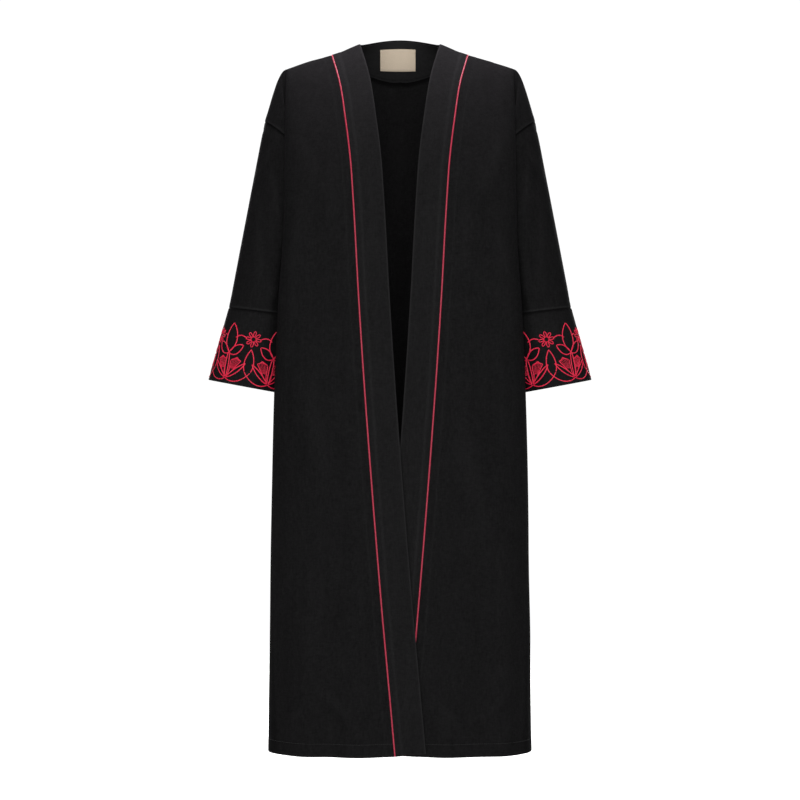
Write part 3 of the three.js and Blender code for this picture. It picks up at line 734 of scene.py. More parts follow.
# Embroidery, drawn flat in millimetres round the cuff and above its hem


def curve(*corners, steps=24):
    """A Bezier curve through its first and last corner, shaped by the two between them."""
    return cubic(np.linspace(0, 1, steps)[:, None], np.array(corners, dtype=float))


def mirrored(lines):
    """Lines with their mirror images in the upright through the foot of the motif."""
    return lines + [line * [-1, 1] for line in lines]


def daisy(centre, petals=8, reach=13.0, eye=3.2, half_width=2.5):
    """Petal loops round a centre: along runs as a cosine from the eye to the tip, and across as a sine."""
    turn = np.linspace(0, 2 * np.pi, 22)
    middle, half_long = (reach + eye) / 2, (reach - eye) / 2
    along = middle - half_long * np.cos(turn)
    across = half_width * np.sin(turn) * (0.55 + 0.45 * (along - eye) / (reach - eye))
    loops = []
    for k in range(petals):
        angle = np.pi / 2 + 2 * np.pi * (k + 0.1) / petals
        x = along * np.cos(angle) - across * np.sin(angle)
        y = along * np.sin(angle) + across * np.cos(angle)
        loops.append(np.stack((x, y), axis=-1) + centre)
    return loops


def motif(half):
    """Half a repeat, from a unit's foot to the daisy: leaves, filled tulips, blades and loops in curves.

    The unit is mirrored about the daisy, so its tall leaf leans away from the one and to the next.
    """
    leaves = [
        curve((0.8, 11), (2.6, 24), (1.6, 40), (-2.2, 53)),
        curve((-1.0, 11), (-5, 24), (-6.5, 40), (-3.8, 53)),
        curve((-3, 53), (-19.5, 66), (-18.5, 88), (-5.5, 102)),
        curve((-3, 53), (13, 66), (10.5, 88), (-5.5, 102)),
        curve((-3, 52), (3, 63), (11, 69), (22, 67)),
        curve((-3, 52), (7, 45), (18, 51), (22, 67)),
        curve((-3, 52), (-10, 64), (-19, 70), (-29, 69)),
        curve((-3, 52), (-13, 46), (-25, 52), (-29, 69)),
        curve((4.6, 78), (10, 83.5), (16, 84.5), (half - 12.6, 80)),
        curve((-16.6, 80), (-19, 83.5), (-21, 83.5), (12.6 - half, 80)),
    ]
    each_way = [
        curve((1, 11), (10, 22), (20, 32), (31, 38)),
        curve((1, 10), (14, 14), (25, 25), (31, 38)),
        curve((0, 9.5), (12, 1), (29, 5), (half + 5, 24)),
        curve((half + 5, 24), (half + 11.5, 38), (half + 5, 55), (half - 0.5, 62)),
    ]
    inner = [
        curve((2.4, 14), (6.8, 22), (3.4, 32), (5.2, 40)),
        curve((5.2, 40), (8, 42.5), (12, 42.5), (15.5, 46)),
    ]
    outer = [
        curve((3, 13.5), (12, 22), (17.5, 34), (23, 40.5)),
        curve((23, 40.5), (19, 41), (17, 43), (15.5, 46)),
    ]
    left, right = (np.concatenate(pair)[6:-3] for pair in (inner, outer))
    hatching = [(left + (right - left) * p)[4:] for p in np.linspace(0.18, 0.82, 5)]
    return leaves + mirrored(each_way), mirrored(inner + outer), mirrored(hatching)


def thread_strip(line, side, width, high, lift):
    """A half-round thread along a line on the cuff: across runs as a cosine and lift as a sine."""
    run = line_run(line)
    even = np.linspace(0, run[-1], max(5, int(run[-1] / 1.25)))
    path = read_line(line, run, even)
    along = unit(np.gradient(path, axis=0))
    across = np.stack((-along[:, 1], along[:, 0]), axis=-1)
    end = rounded(from_ends(even) + 0.05, width / 2)
    turn = np.linspace(0, np.pi, 5)
    flat = path[:, None] + across[:, None] * (np.cos(turn) * width / 2)[None, :, None] * end[:, None, None]
    raise_by = lift - 0.1 + (high * np.sin(turn))[None, :] * end[:, None]
    places = cuff_point(side, flat[..., 0], flat[..., 1], raise_by)
    uv = points(even[:, None], (turn * width / 2)[None, :], 0)[..., :2]
    quads = grid_quads(len(even), len(turn))
    return places.reshape(-1, 3), quads if side > 0 else quads[:, ::-1], uv.reshape(-1, 2)


def joined(parts):
    """Joins the places, quads and maps of several strips into one set of arrays."""
    counts = np.cumsum([0] + [len(places) for places, _, _ in parts[:-1]])
    places, maps = (np.concatenate([part[k] for part in parts]) for k in (0, 2))
    return places, np.concatenate([quads + n for n, (_, quads, _) in zip(counts, parts)]), maps


# Sewing


def face_lines(node, rows, way):
    """The two faces of a cloth piece as grids in millimetres, the one that way names first."""
    mesh = bpy.data.objects[f"{node}_cloth"].data
    places = np.empty(3 * len(mesh.vertices), dtype=np.float32)
    mesh.vertices.foreach_get("co", places)
    return (places.reshape(2, rows, -1, 3) / MM)[::way]


def stitch_row(line, out, pitch=3.2, long=2.5, wide=0.6, high=0.28):
    """Half-round stitches along a line: width as a cosine and lift as a sine, drawn in at both ends."""
    run = line_run(line)
    start = np.arange(pitch / 2, run[-1] - long, pitch)
    share, turn = np.linspace(0, 1, 5), np.linspace(0, np.pi, 4)
    at = start[:, None] + long * share
    path, away = (read_line(rows, run, at) for rows in (line, unit(out)))
    across = unit(np.cross(away, np.gradient(path, axis=1)))[:, :, None]
    swell = across * (wide / 2 * np.cos(turn))[:, None] + away[:, :, None] * (high * np.sin(turn))[:, None]
    places = path[:, :, None] + (0.4 + 0.6 * np.sin(np.pi * share))[None, :, None, None] * swell
    first = places[0, ..., 0].size * np.arange(len(start))[:, None, None]
    quads = grid_quads(len(share), len(turn))[:, ::-1] + first
    uv = points(at[:, :, None], (turn * wide / 2)[None, None, :], 0)[..., :2]
    return places.reshape(-1, 3), quads.reshape(-1, 4), uv.reshape(-1, 2)


# Materials


def add_node(tree, kind, inputs=(), **settings):
    """A node with its settings, whose inputs take a plain value or a link from another node's socket."""
    node = tree.nodes.new(kind)
    for name, value in settings.items():
        setattr(node, name, value)
    for name, value in dict(inputs).items():
        if isinstance(value, bpy.types.NodeSocket):
            tree.links.new(value, node.inputs[name])
        else:
            node.inputs[name].default_value = value
    return node


def new_group(name, inputs, outputs):
    """An empty shader node group with named sockets, and its input and output nodes."""
    group = bpy.data.node_groups.new(name, "ShaderNodeTree")
    for label, value in inputs.items():
        kind = "NodeSocketColor" if isinstance(value, tuple) else "NodeSocketFloat"
        socket = group.interface.new_socket(name=label, in_out="INPUT", socket_type=kind)
        socket.default_value = value
    for label in outputs:
        kind = "NodeSocketColor" if label == "Colour" else "NodeSocketFloat"
        group.interface.new_socket(name=label, in_out="OUTPUT", socket_type=kind)
    return group, group.nodes.new("NodeGroupInput"), group.nodes.new("NodeGroupOutput")


def maths(tree, operation, *values, clamp=False):
    """One operation on up to three values, as a socket."""
    node = add_node(tree, "ShaderNodeMath", dict(enumerate(values)), operation=operation, use_clamp=clamp)
    return node.outputs[0]


def blend_colour(tree, factor, first, second):
    """A mix of two colours by a factor, as a socket."""
    mix = add_node(tree, "ShaderNodeMix", data_type="RGBA")
    for index, value in ((0, factor), (6, first), (7, second)):
        if isinstance(value, bpy.types.NodeSocket):
            tree.links.new(value, mix.inputs[index])
        else:
            mix.inputs[index].default_value = value
    return mix.outputs[2]


def noise(tree, place, scale, detail=2.0, **more):
    """The factor of a noise texture, as a socket."""
    inputs = {"Vector": place, "Scale": scale, "Detail": detail, **more}
    return add_node(tree, "ShaderNodeTexNoise", inputs).outputs["Fac"]


def map_range(tree, value, low, high, first=0.0, last=1.0):
    """A value brought from low and high to first and last, and held between them, as a socket."""
    inputs = {"Value": value, "From Min": low, "From Max": high, "To Min": first, "To Max": last}
    return add_node(tree, "ShaderNodeMapRange", inputs).outputs[0]


def stretched(tree, place, scale):
    """Coordinates multiplied by a scale for each axis, as a socket."""
    return add_node(tree, "ShaderNodeMapping", {"Vector": place, "Scale": scale}).outputs[0]


def cloth_group():
    """Crepe: a pebbly and crinkled grain from four noises, soft mottling, lint specks, and painted light from
    the edge mask, paler edges where it is above 0 and painted shade where it is below.
    """
    # The group brings the crepe grain and the edge mask's painted light.
    group, given, out = new_group(
        "Crepe grain and wear",
        {
            "Colour": (0.01, 0.01, 0.01, 1),
            "Worn Colour": (0.02, 0.02, 0.02, 1),
            "Grain per Metre": 1200.0,
            "Edge": 0.0,
        },
        ("Colour", "Roughness", "Height"),
    )
    place = add_node(group, "ShaderNodeTexCoord").outputs["Object"]
    fine = noise(group, place, given.outputs["Grain per Metre"], Distortion=0.5)
    pebble = noise(group, place, 520.0, 1.0)
    threads = [
        noise(group, stretched(group, place, scale), 1.0)
        for scale in ((150.0, 150.0, 440.0), (440.0, 440.0, 110.0))
    ]
    height = maths(group, "MULTIPLY_ADD", fine, 0.65, maths(group, "MULTIPLY", pebble, 0.35))
    height = maths(
        group, "MULTIPLY_ADD", maths(group, "ADD", *threads), 0.35, maths(group, "MULTIPLY", height, 0.65)
    )

    mottle = noise(group, place, 26.0, 3.0)
    streak = noise(group, stretched(group, place, (90.0, 90.0, 9.0)), 1.0)
    soft = maths(group, "MULTIPLY_ADD", mottle, 0.5, maths(group, "MULTIPLY", streak, 0.5))
    soft = map_range(group, soft, 0.36, 0.66, last=0.12)
    tone = maths(group, "MULTIPLY_ADD", height, 1.45, maths(group, "SUBTRACT", soft, 0.71))

    cells = add_node(group, "ShaderNodeTexVoronoi", {"Vector": place, "Scale": 30.0})
    draw = add_node(group, "ShaderNodeSeparateColor", {"Color": cells.outputs["Color"]}).outputs[0]
    chosen = maths(group, "GREATER_THAN", draw, 0.86)
    speck = maths(group, "MULTIPLY", chosen, maths(group, "LESS_THAN", cells.outputs["Distance"], 0.03))

    # Painted light: the edge mask brings painted highlights along folds, seam lines and crease crests, and
    # painted shade along seams, under the facing and where cloth turns away.
    edge = given.outputs["Edge"]
    grain_lint_and_painted_light = maths(group, "ADD", tone, maths(group, "MULTIPLY", edge, 0.75))
    grain_lint_and_painted_light = maths(group, "ADD", grain_lint_and_painted_light, maths(group, "MULTIPLY", speck, 1.2), clamp=True)
    # The mix goes towards the paler colour with the grain, the lint specks and the painted light.
    colour = blend_colour(group, grain_lint_and_painted_light, given.outputs["Colour"], given.outputs["Worn Colour"])
    rough = map_range(group, height, 0.45, 0.9, 0.92, 0.74)
    rough = maths(group, "SUBTRACT", rough, maths(group, "MULTIPLY", edge, 0.12))
    for label, socket in (("Colour", colour), ("Roughness", rough), ("Height", height)):
        group.links.new(socket, out.inputs[label])
    return group


def thread_group():
    """Twisted or woven thread: bands that run slantwise over the piece's own map, with a paler crown and
    painted shade in the grooves between the bands.
    """
    group, given, out = new_group(
        "Thread twist",
        {
            "Colour": (0.5, 0.02, 0.05, 1),
            "Deep Colour": (0.2, 0.01, 0.02, 1),
            "Threads per Metre": 1000.0,
            "Slant": 1.0,
        },
        ("Colour", "Height"),
    )
    where = add_node(group, "ShaderNodeUVMap", uv_map="laid flat").outputs[0]
    parts = add_node(group, "ShaderNodeSeparateXYZ", {"Vector": where}).outputs
    slant = maths(group, "MULTIPLY_ADD", parts[1], given.outputs["Slant"], parts[0])
    count = maths(group, "MULTIPLY", slant, given.outputs["Threads per Metre"])
    turns = maths(group, "MULTIPLY", count, 2 * math.pi)
    wave = maths(group, "MULTIPLY_ADD", maths(group, "SINE", turns), 0.5, 0.5)
    fibre = noise(group, add_node(group, "ShaderNodeTexCoord").outputs["Object"], 1800.0)
    height = maths(group, "MULTIPLY_ADD", fibre, 0.4, maths(group, "MULTIPLY", wave, 0.6))
    # Painted shade: the grooves between the bands take the darker colour, and the crowns keep the thread's
    # own.
    shade = map_range(group, height, 0.15, 0.62)
    colour = blend_colour(group, shade, given.outputs["Deep Colour"], given.outputs["Colour"])
    for label, socket in (("Colour", colour), ("Height", height)):
        group.links.new(socket, out.inputs[label])
    return group


def surface(name, group, values, bump, distance, **sockets):
    """A material: the group's colour and height on a Principled shader, and plain values for the rest."""
    material = bpy.data.materials.new(name)
    material.use_nodes = True
    tree = material.node_tree
    shader = tree.nodes["Principled BSDF"]
    effect = add_node(tree, "ShaderNodeGroup", node_tree=group)
    for label, value in values.items():
        if isinstance(value, str):
            mask = add_node(tree, "ShaderNodeAttribute", attribute_name=value)
            tree.links.new(mask.outputs["Fac"], effect.inputs[label])
        else:
            effect.inputs[label].default_value = value
    tree.links.new(effect.outputs["Colour"], shader.inputs["Base Color"])
    if "Roughness" in effect.outputs:
        tree.links.new(effect.outputs["Roughness"], shader.inputs["Roughness"])
    height = effect.outputs["Height"]
    raised = add_node(tree, "ShaderNodeBump", {"Strength": bump, "Distance": distance, "Height": height})
    tree.links.new(raised.outputs[0], shader.inputs["Normal"])
    for label, value in sockets.items():
        shader.inputs[label.replace("_", " ")].default_value = value
    return material


# Settings


def colour(name, description, default):
    """A colour as a setting."""
    return FloatVectorProperty(
        name=name, description=description, subtype="COLOR", size=3, min=0, max=1, default=default
    )


def length(name, description, default, least, most):
    """A length as a setting, in metres."""
    return FloatProperty(
        name=name, description=description, unit="LENGTH", default=default, min=least, max=most
    )


def power(name, description, default):
    """The power of lights as a setting, in watts."""
    return FloatProperty(name=name, description=description, unit="POWER", default=default, min=0)


class ManteauSettings(bpy.types.PropertyGroup):
    """Sizes and colours of the garment."""

    cloth_colour: colour("Crepe", "Base colour of the crepe", (0.0028, 0.0028, 0.00285))
    # The paler crepe colour, used for the raised grain and lint and for the painted highlights.
    grain_and_highlight_colour: colour("Pale grain and highlights", "Colour of the raised grain and lint, and of painted highlights on edges and creases", (0.0116, 0.0115, 0.0118))
    trim_colour: colour("Piping", "Colour of the satin piping", (0.37, 0.0205, 0.049))
    thread_colour: colour("Embroidery thread", "Colour of the cuff embroidery", (0.66, 0.009, 0.047))
    sewing_colour: colour("Sewing thread", "Colour of the black sewing thread", (0.0065, 0.0065, 0.0067))
    label_colour: colour("Label", "Colour of the bare woven label", (0.57, 0.475, 0.36))
    body_thickness: length("Body cloth", "Thickness of the single cloth", 0.0012, 0.0004, 0.0015)
    band_thickness: length("Band cloth", "Thickness of the doubled front band", 0.0023, 0.0008, 0.0026)
    cuff_thickness: length("Cuff cloth", "Thickness of the doubled cuff", 0.002, 0.0008, 0.0022)
    ripple_height: length("Ripples", "Height of the soft hanging ripples", 0.0011, 0, 0.003)
    thread_width: length("Thread width", "Width of the embroidered lines", 0.0019, 0.001, 0.003)
    grain_size: length("Crepe grain", "Size of one pebble of the crepe", 0.0009, 0.0003, 0.003)
    crease_height: FloatProperty(
        name="Creases", description="Height of the small creases, as a share of the drawn ones",
        subtype="FACTOR", default=1.0, min=0, max=2,
    )


class StudioSettings(bpy.types.PropertyGroup):
    """Light and camera of the studio."""

    front_power: power("Front light", "Power of the three soft front lights", 192.0)
    top_power: power("Top light", "Power of the soft light over the shoulders", 20.0)
    back_power: power("Back light", "Power of the two soft lights behind the garment", 150.0)
    floor_height: length("Floor", "Height of the floor, seen from the shoulders", -1.42, -3, -1.2)
    camera_distance: length("Camera distance", "How far in front the camera stands", 4.5, 1, 20)
    surround: FloatProperty(
        name="Surround", description="Strength of the plain white surround's light",
        default=0.18, min=0, max=1,
    )
    floor_glow: FloatProperty(
        name="Floor glow", description="Light of the floor that only the camera sees",
        default=0.87, min=0, max=1,
    )


# Pieces


class MANTEAU_OT_materials(bpy.types.Operator):
    """Makes the crepe, the satin piping, the threads and the woven label"""

    bl_idname = "manteau.make_materials"
    bl_label = "Make materials"

    def execute(self, context):
        look = context.scene.manteau
        cloth, thread = cloth_group(), thread_group()
        # The edge attribute brings the painted light and shade into the crepe.
        grain = {"Grain per Metre": 1 / look.grain_size, "Edge": "edge"}
        colours = {"Colour": (*look.cloth_colour, 1), "Worn Colour": (*look.grain_and_highlight_colour, 1)}
        surface(
            "black crepe", cloth, {**colours, **grain}, 0.55, 0.0005,
            Specular_IOR_Level=0.03, Sheen_Weight=0.004, Sheen_Roughness=0.5, Sheen_Tint=(0.8, 0.76, 0.86, 1),
        )
        trims = (
            ("satin piping", look.trim_colour, 900.0, 0.6, 0.35, 0.42),
            ("embroidery thread", look.thread_colour, 800.0, 0.9, 0.6, 0.4),
            ("woven label", look.label_colour, 1100.0, 0.0, 0.3, 0.55),
            ("sewing thread", look.sewing_colour, 1000.0, 0.9, 0.5, 0.6),
        )
        for name, tint, threads, slant, bump, rough in trims:
            values = {
                "Colour": (*tint, 1),
                # A painted shade of the tint, 0.55 of it, for the grooves.
                "Deep Colour": (*(0.55 * value for value in tint), 1),
                "Threads per Metre": threads,
                "Slant": slant,
            }
            surface(
                name, thread, values, bump, 0.0003,
                Roughness=rough, Specular_IOR_Level=0.3, Sheen_Weight=0.03, Sheen_Roughness=0.4,
            )
        return {"FINISHED"}


class MANTEAU_OT_fronts(bpy.types.Operator):
    """Adds the two fronts and their bands"""

    bl_idname = "manteau.add_fronts"
    bl_label = "Add fronts and bands"

    def execute(self, context):
        look = context.scene.manteau
        half, band = front_grid(), band_grid()
        a, z = half[..., 0], half[..., 2]
        run, down = run_along(half, 1), run_along(half, 0)[:, :1]
        seam_away, side_away = run + NEAR_SEAM[0], run[:, -1:] - run
        hem_away = np.abs(z - HEM_Z)
        turned = seam_away - seam_away[:, FOLD_COLUMN : FOLD_COLUMN + 1]
        upper = smooth((z - UNDERARM_Z) / 20)
        beside_sleeve = smooth((z + 600) / 60) * smooth((side_away - 2) / 6)
        calm = smooth((seam_away - 12) / 30) * smooth((side_away - 8) / 40)
        thick = look.body_thickness / MM * rounded(hem_away, 0.9)
        # Painted highlights: pale lines along the hem's fold, 14 mm from the band seam where the allowance
        # ends, and above the underarm 2.2 mm from the armhole seam.
        painted_light = 0.5 * bell(hem_away, 2) + 0.22 * bell(seam_away, 1.6, 14)
        painted_light = painted_light + 0.75 * bell(side_away, 1.2, 2.2) * upper
        # Painted shade on the strip just past the fold beside the sleeve, and on the side below the underarm
        # as it turns away.
        shade = 0.7 * bell(turned, 6, 3) * beside_sleeve + 0.3 * smooth((turned - 2) / 14) * (1 - upper)
        lining = turned_in(seam_away, 13, hem_away)

        fold_away, band_z = BAND_WIDTH - BAND_STEPS, band[..., 2]
        band_hem = np.abs(band_z - HEM_Z)
        band_thick = look.band_thickness / MM * rounded(fold_away, 1.15) * rounded(band_hem, 1.1)
        # Painted light on the band: a painted highlight along its fold edge, pale lines 11 mm from the seam
        # and at the hem, an even lift of 0.18, and a painted pool of light from above rising from a height of
        # -180 mm to -60 mm.
        band_painted_light = 1.2 * bell(fold_away, 1.8) + 0.4 * bell(BAND_STEPS, 2.2, 11) + 0.18
        band_painted_light = band_painted_light + 0.4 * bell(band_hem, 1.6) + 0.14 * smooth((band_z + 180) / 120)
        for name, side in SIDES.items():
            node = f"front_{name}"
            relief = seam_relief(seam_away, down, 11 + side)
            relief += seam_relief(side_away, down, 21 + side, 0.4, 11, 0.2)
            dressing, crease_light_and_shade = body_relief(look, node, a, z, hem_away, calm, 31 + side)
            wall = (drape(node, side, half), -side, thick, relief + dressing, painted_light - shade + crease_light_and_shade, lining)
            sew(node, "crepe", "hung", ["back", f"sleeve_{name}"], *wall)

            ripple = hanging_ripple(61 + side, 3 * BAND_STEPS, band_z, 0.4)
            relief = seam_relief(BAND_STEPS, down, 51 + side, 0.6, 13.5, 0.34)
            relief += 0.5 * smooth(fold_away / 20) * ripple
            wall = (drape(node, side, band), side, band_thick, relief, band_painted_light)
            sew(f"band_{name}", "crepe", "hung", [node, "band_back_neck"], *wall)
        return {"FINISHED"}


class MANTEAU_OT_back(bpy.types.Operator):
    """Adds the back in one piece"""

    bl_idname = "manteau.add_back"
    bl_label = "Add back"

    def execute(self, context):
        look = context.scene.manteau
        flat = back_grid()
        across, z = flat[..., 0], flat[..., 2]
        run, top_away = run_along(flat, 1), run_along(flat, 0)
        side_away, hem_away = from_ends(run), np.abs(z - HEM_Z)
        relief = seam_relief(side_away, top_away, 71, 0.4, 11, 0.2)
        relief += seam_relief(top_away, run, 72, 0.5, 13, 0.3)
        calm = smooth((side_away - 8) / 40) * smooth((top_away - 12) / 30)
        dressing, crease_light_and_shade = body_relief(look, "back", across, z, hem_away, calm, 73)
        thick = look.body_thickness / MM * rounded(hem_away, 0.9)
        # Painted highlights: pale lines along the hem's fold and 13 mm below the top seam, with the crease
        # light.
        edge = 0.5 * bell(hem_away, 2) + 0.3 * bell(top_away, 1.6, 13) + crease_light_and_shade
        lean = neck_lean(across)
        under_facing = top_away - FACING_BELOW * lean**1.5
        # Inside face: an even painted lift of light of 0.22, and a painted shadow of the facing just below
        # its lower edge.
        inner_edge = edge + 0.22 - 1.1 * smooth(1 - np.abs(under_facing - 2) / 12) * (lean > 0)
        lining = turned_in(side_away, 11, hem_away)
        wall = (drape("back", 0, flat), 1, thick, relief + dressing, edge, lining)
        sew("back", "crepe", "hung", ["front_right", "front_left"], *wall, inner_edge=inner_edge)
        return {"FINISHED"}


def neck_grids():
    """The standing band behind the neck from its top edge down, and the back's cloth below the neckline."""
    back = back_grid()
    middle = back.shape[1] // 2
    reach = len(NECK_TURN) // 2
    below = back[:20, middle - reach : middle + reach + 1]
    neckline = below[0]
    row = band_grid()[0][::-1]
    edge, seam = row[0], front_points(front_levels()[1])[0, 0]
    lean = neck_lean(neckline[:, 0])
    narrowed = neckline[:, 0] * edge[0] / NECK_CORNER
    top = points(narrowed, COLLAR_Y + COLLAR_DEPTH * lean, edge[2] + COLLAR_RISE * lean**2)
    share = 1 - BAND_STEPS[::-1] / BAND_WIDTH
    grid = loft(top, neckline, share)
    bend = row - (edge + (seam - edge) * share[:, None])
    corner = (np.abs(neckline[:, 0]) / NECK_CORNER) ** 4
    turn = points(np.sign(grid[..., 0]) * bend[:, None, 0], bend[:, None, 1], bend[:, None, 2])
    return grid + turn * corner[None, :, None], below


def facing_grid():
    """Inside the standing band, and on down inside the back by its drop times the lean to the power 1.5."""
    collar, below = neck_grids()
    upper, lower = (grid - normals_of(grid, 1) * FACING_INSET for grid in (collar, below))
    depth = FACING_BELOW * neck_lean(below[0, :, 0]) ** 1.5 + 0.4
    columns = []
    for k in range(collar.shape[1]):
        line = np.concatenate((upper[1:-3, k], lower[1:, k]))
        run = line_run(line)
        end = run[len(upper) - 4] + depth[k]
        top, low = FACING_TOP + np.array([0, 0.08, 0.25, 0.6]), end - np.array([1.0, 0.6, 0.3, 0.1, 0.0])
        columns.append(read_line(line, run, np.concatenate((top, np.linspace(3.2, end - 1.4, 44), low))))
    return np.stack(columns, axis=1)[:, np.abs(NECK_TURN) <= np.radians(FACING_ANGLE)]


def label_grid(facing):
    """A rectangle measured on the facing's surface, and lifted off it."""
    facing = facing - normals_of(facing, 1) * LABEL["lift"]
    run = run_along(facing, 0)
    down = LABEL_DOWN + LABEL["top"] - FACING_TOP
    lines = np.stack([read_line(facing[:, c], run[:, c], down) for c in range(facing.shape[1])], axis=1)
    across = LABEL["left"] + LABEL_ACROSS
    return np.stack(
        [points(across, *(np.interp(across, row[:, 0], row[:, k]) for k in (1, 2))) for row in lines]
    )


class MANTEAU_OT_neck(bpy.types.Operator):
    """Adds the standing band behind the neck, the facing inside it and the bare label"""

    bl_idname = "manteau.add_neck"
    bl_label = "Add neck pieces"

    def execute(self, context):
        look = context.scene.manteau
        collar, _ = neck_grids()
        seam_away = BAND_STEPS[::-1, None]
        fold_away = BAND_WIDTH - seam_away
        thick = look.band_thickness / MM * rounded(fold_away, 1.15)
        relief = seam_relief(seam_away, run_along(collar, 1), 81, 0.6, 13.5, 0.3)
        # A painted highlight along the line 13.5 mm from the seam where the allowance ends, and an even lift
        # of 0.12.
        edge = 0.25 * bell(seam_away, 1.6, 13.5) + 0.12
        wall = (collar, 1, thick, relief, edge)
        # Painted shade along the fold on the inner face, a dark line at the band's top edge.
        folded = edge - 0.8 * bell(fold_away, 2)
        neighbours = ["back", "band_right", "band_left"]
        sew("band_back_neck", "crepe", "stretched", neighbours, *wall, inner_edge=folded)

        facing = facing_grid()
        down, run = run_along(facing, 0), run_along(facing, 1)
        end_away = down[-1:] - down
        near = np.minimum(np.minimum(down, end_away), from_ends(run))
        relief = 0.2 * bell(end_away, 3, 6) * np.sin(run / 2.7) * smooth(end_away / 3)
        # Painted light on the facing: paler overall, painted highlights along its top and its lower edge, and
        # a painted shade line 4.2 mm above the lower edge.
        edge = 0.82 + 0.25 * bell(down, 4, 5) + 0.8 * bell(end_away, 1.3) - 0.5 * bell(end_away, 1.4, 4.2)
        wall = (facing, 1, 0.9 * rounded(near, 0.45), relief, edge)
        sew("facing_back_neck", "crepe", "stretched", ["band_back_neck", "back"], *wall)

        near = np.minimum.outer(from_ends(LABEL_DOWN), from_ends(LABEL_ACROSS))
        lift = 0.25 * bell(near, 2.2) * np.sin(0.9 * LABEL_DOWN)[:, None] - 0.1 - 0.18 * bell(near, 0.7, 2.6)
        wall = (label_grid(facing), 1, 0.6 * rounded(near, 0.4), lift)
        sew("neck_label", "label_weave", "laid", ["facing_back_neck"], *wall)
        return {"FINISHED"}


class MANTEAU_OT_sleeves(bpy.types.Operator):
    """Adds the two sleeves and their cuffs"""

    bl_idname = "manteau.add_sleeves"
    bl_label = "Add sleeves and cuffs"

    def execute(self, context):
        look = context.scene.manteau
        angle = np.linspace(0, 2 * np.pi, 168, endpoint=False)
        tucked = np.array([-0.0065, -0.005, -0.003, -0.001])
        near = np.array([0.001, 0.004, 0.008, 0.014, 0.022])
        far = 1 - near[::-1] * [1, 1, 1, 1, 0.5]
        share = np.concatenate((tucked, near, np.linspace(0.032, 0.968, 76), far))
        sides = (normals_of(body, 1)[:UPPER, -1] for body in (front_grid(), back_grid()))
        grid = sleeve_grid(angle, share, *sides)
        down = run_along(grid, 0)
        down = down - down[len(tucked)]
        seam_away, cuff_away = down + 0.3, down[-1:] - down + 0.3
        round_mm, from_under = SLEEVE_RADIUS * angle, SLEEVE_RADIUS * np.abs(angle - np.pi)
        around = SLEEVE_RADIUS * np.radians(SLEEVE_CREASES["turn"])
        creases = {**SLEEVE_CREASES, "a": around, "z": -SLEEVE_CREASES["down"]}
        calm = smooth((seam_away - 12) / 30) * smooth((cuff_away - 10) / 30)
        folds = calm * look.crease_height * crease_relief(creases, round_mm, -down)
        # The side of the sleeve that faces the body, where painted shade goes.
        inner_side_shade = smooth((np.radians(84) - np.abs(angle - np.pi)) / np.radians(14))
        # Painted light on the sleeve: a pale line where the allowance ends 12 mm below the armhole seam,
        # painted shade along that seam, a painted highlight 2.4 mm above the cuff seam, painted shade on the
        # side facing the body, and the crease light.
        edge = 0.18 * bell(seam_away, 1.5, 12) - 0.9 * bell(seam_away, 3) + 0.8 * bell(cuff_away, 1.3, 2.4)
        edge = edge - 0.7 * inner_side_shade + 0.16 * np.clip(folds, -0.3, 1.0)

        cuff = loft(ring_point(CUFF_SEAM, angle), ring_point(CUFF_HEM, angle), CUFF_SHARE)
        cuff_down = run_along(cuff, 0) + 0.15
        hem_away = cuff_down[-1:] - cuff_down
        cuff_thick = look.cuff_thickness / MM * rounded(hem_away, 1.0)
        # Painted light on the cuff: a painted highlight along the hem's fold, an even lift of 0.1, and
        # painted shade along the seam with the sleeve and on the side facing the body.
        cuff_painted_light = 0.6 * bell(hem_away, 1.5) + 0.1 - 1.2 * bell(cuff_down, 3) - 0.3 * inner_side_shade
        for name, side in SIDES.items():
            relief = seam_relief(seam_away, round_mm, 91 + side, 0.5, 12, 0.35)
            relief += seam_relief(cuff_away, round_mm, 101 + side, 0.55, 9, 0.12)
            relief += folds + calm * hanging_ripple(111 + side, from_under, -300 - down, 0.9)
            relief -= 1.3 * smooth((0.5 - seam_away) / 1.6)
            wall = (grid * [side, 1, 1], side, look.body_thickness / MM, relief, edge)
            node = f"sleeve_{name}"
            sew(node, "crepe", "hung", [f"front_{name}", "back"], *wall, closed=True)

            ripple = hanging_ripple(131 + side, from_under, -500 - cuff_down, 0.8)
            relief = seam_relief(cuff_down, round_mm, 121 + side, 1.5, 8, 0.1)
            relief += 0.16 * smooth((26 - hem_away) / 2) + 0.25 * smooth(hem_away / 20) * ripple
            wall = (cuff * [side, 1, 1], side, cuff_thick, relief, cuff_painted_light)
            sew(f"cuff_{name}", "crepe", "hung", [node], *wall, closed=True)
        return {"FINISHED"}


class MANTEAU_OT_piping(bpy.types.Operator):
    """Adds the red piping in the band's seam"""

    bl_idname = "manteau.add_piping"
    bl_label = "Add piping"

    def execute(self, context):
        seam = front_points(front_levels()[1] + np.array([-1.0, 0.0, 1.0]))
        for name, side in SIDES.items():
            grid = drape(f"front_{name}", side, seam)
            normals = normals_of(grid, -side)[:, 1]
            centres = grid[:, 1] + normals * PIPING["rise"]
            centres[0] += unit(centres[1] - centres[0]) * PIPING["short"]
            piece = tube(f"piping_{name}", centres, normals, PIPING["radius"])
            finish_piece(piece, "red_trim", f"piping_{name}")
        collar, _ = neck_grids()
        neckline = 1.018 * collar[-1] - 0.018 * collar[-2]
        normals = normals_of(collar, 1)[-1]
        centres = neckline + normals * PIPING["rise"]
        for end, inside in ((0, 1), (-1, -2)):
            centres[end] += unit(centres[inside] - centres[end]) * PIPING["short"]
        piece = tube("piping_back_neck", centres, normals, PIPING["radius"])
        finish_piece(piece, "red_trim", "piping_back_neck")
        return {"FINISHED"}


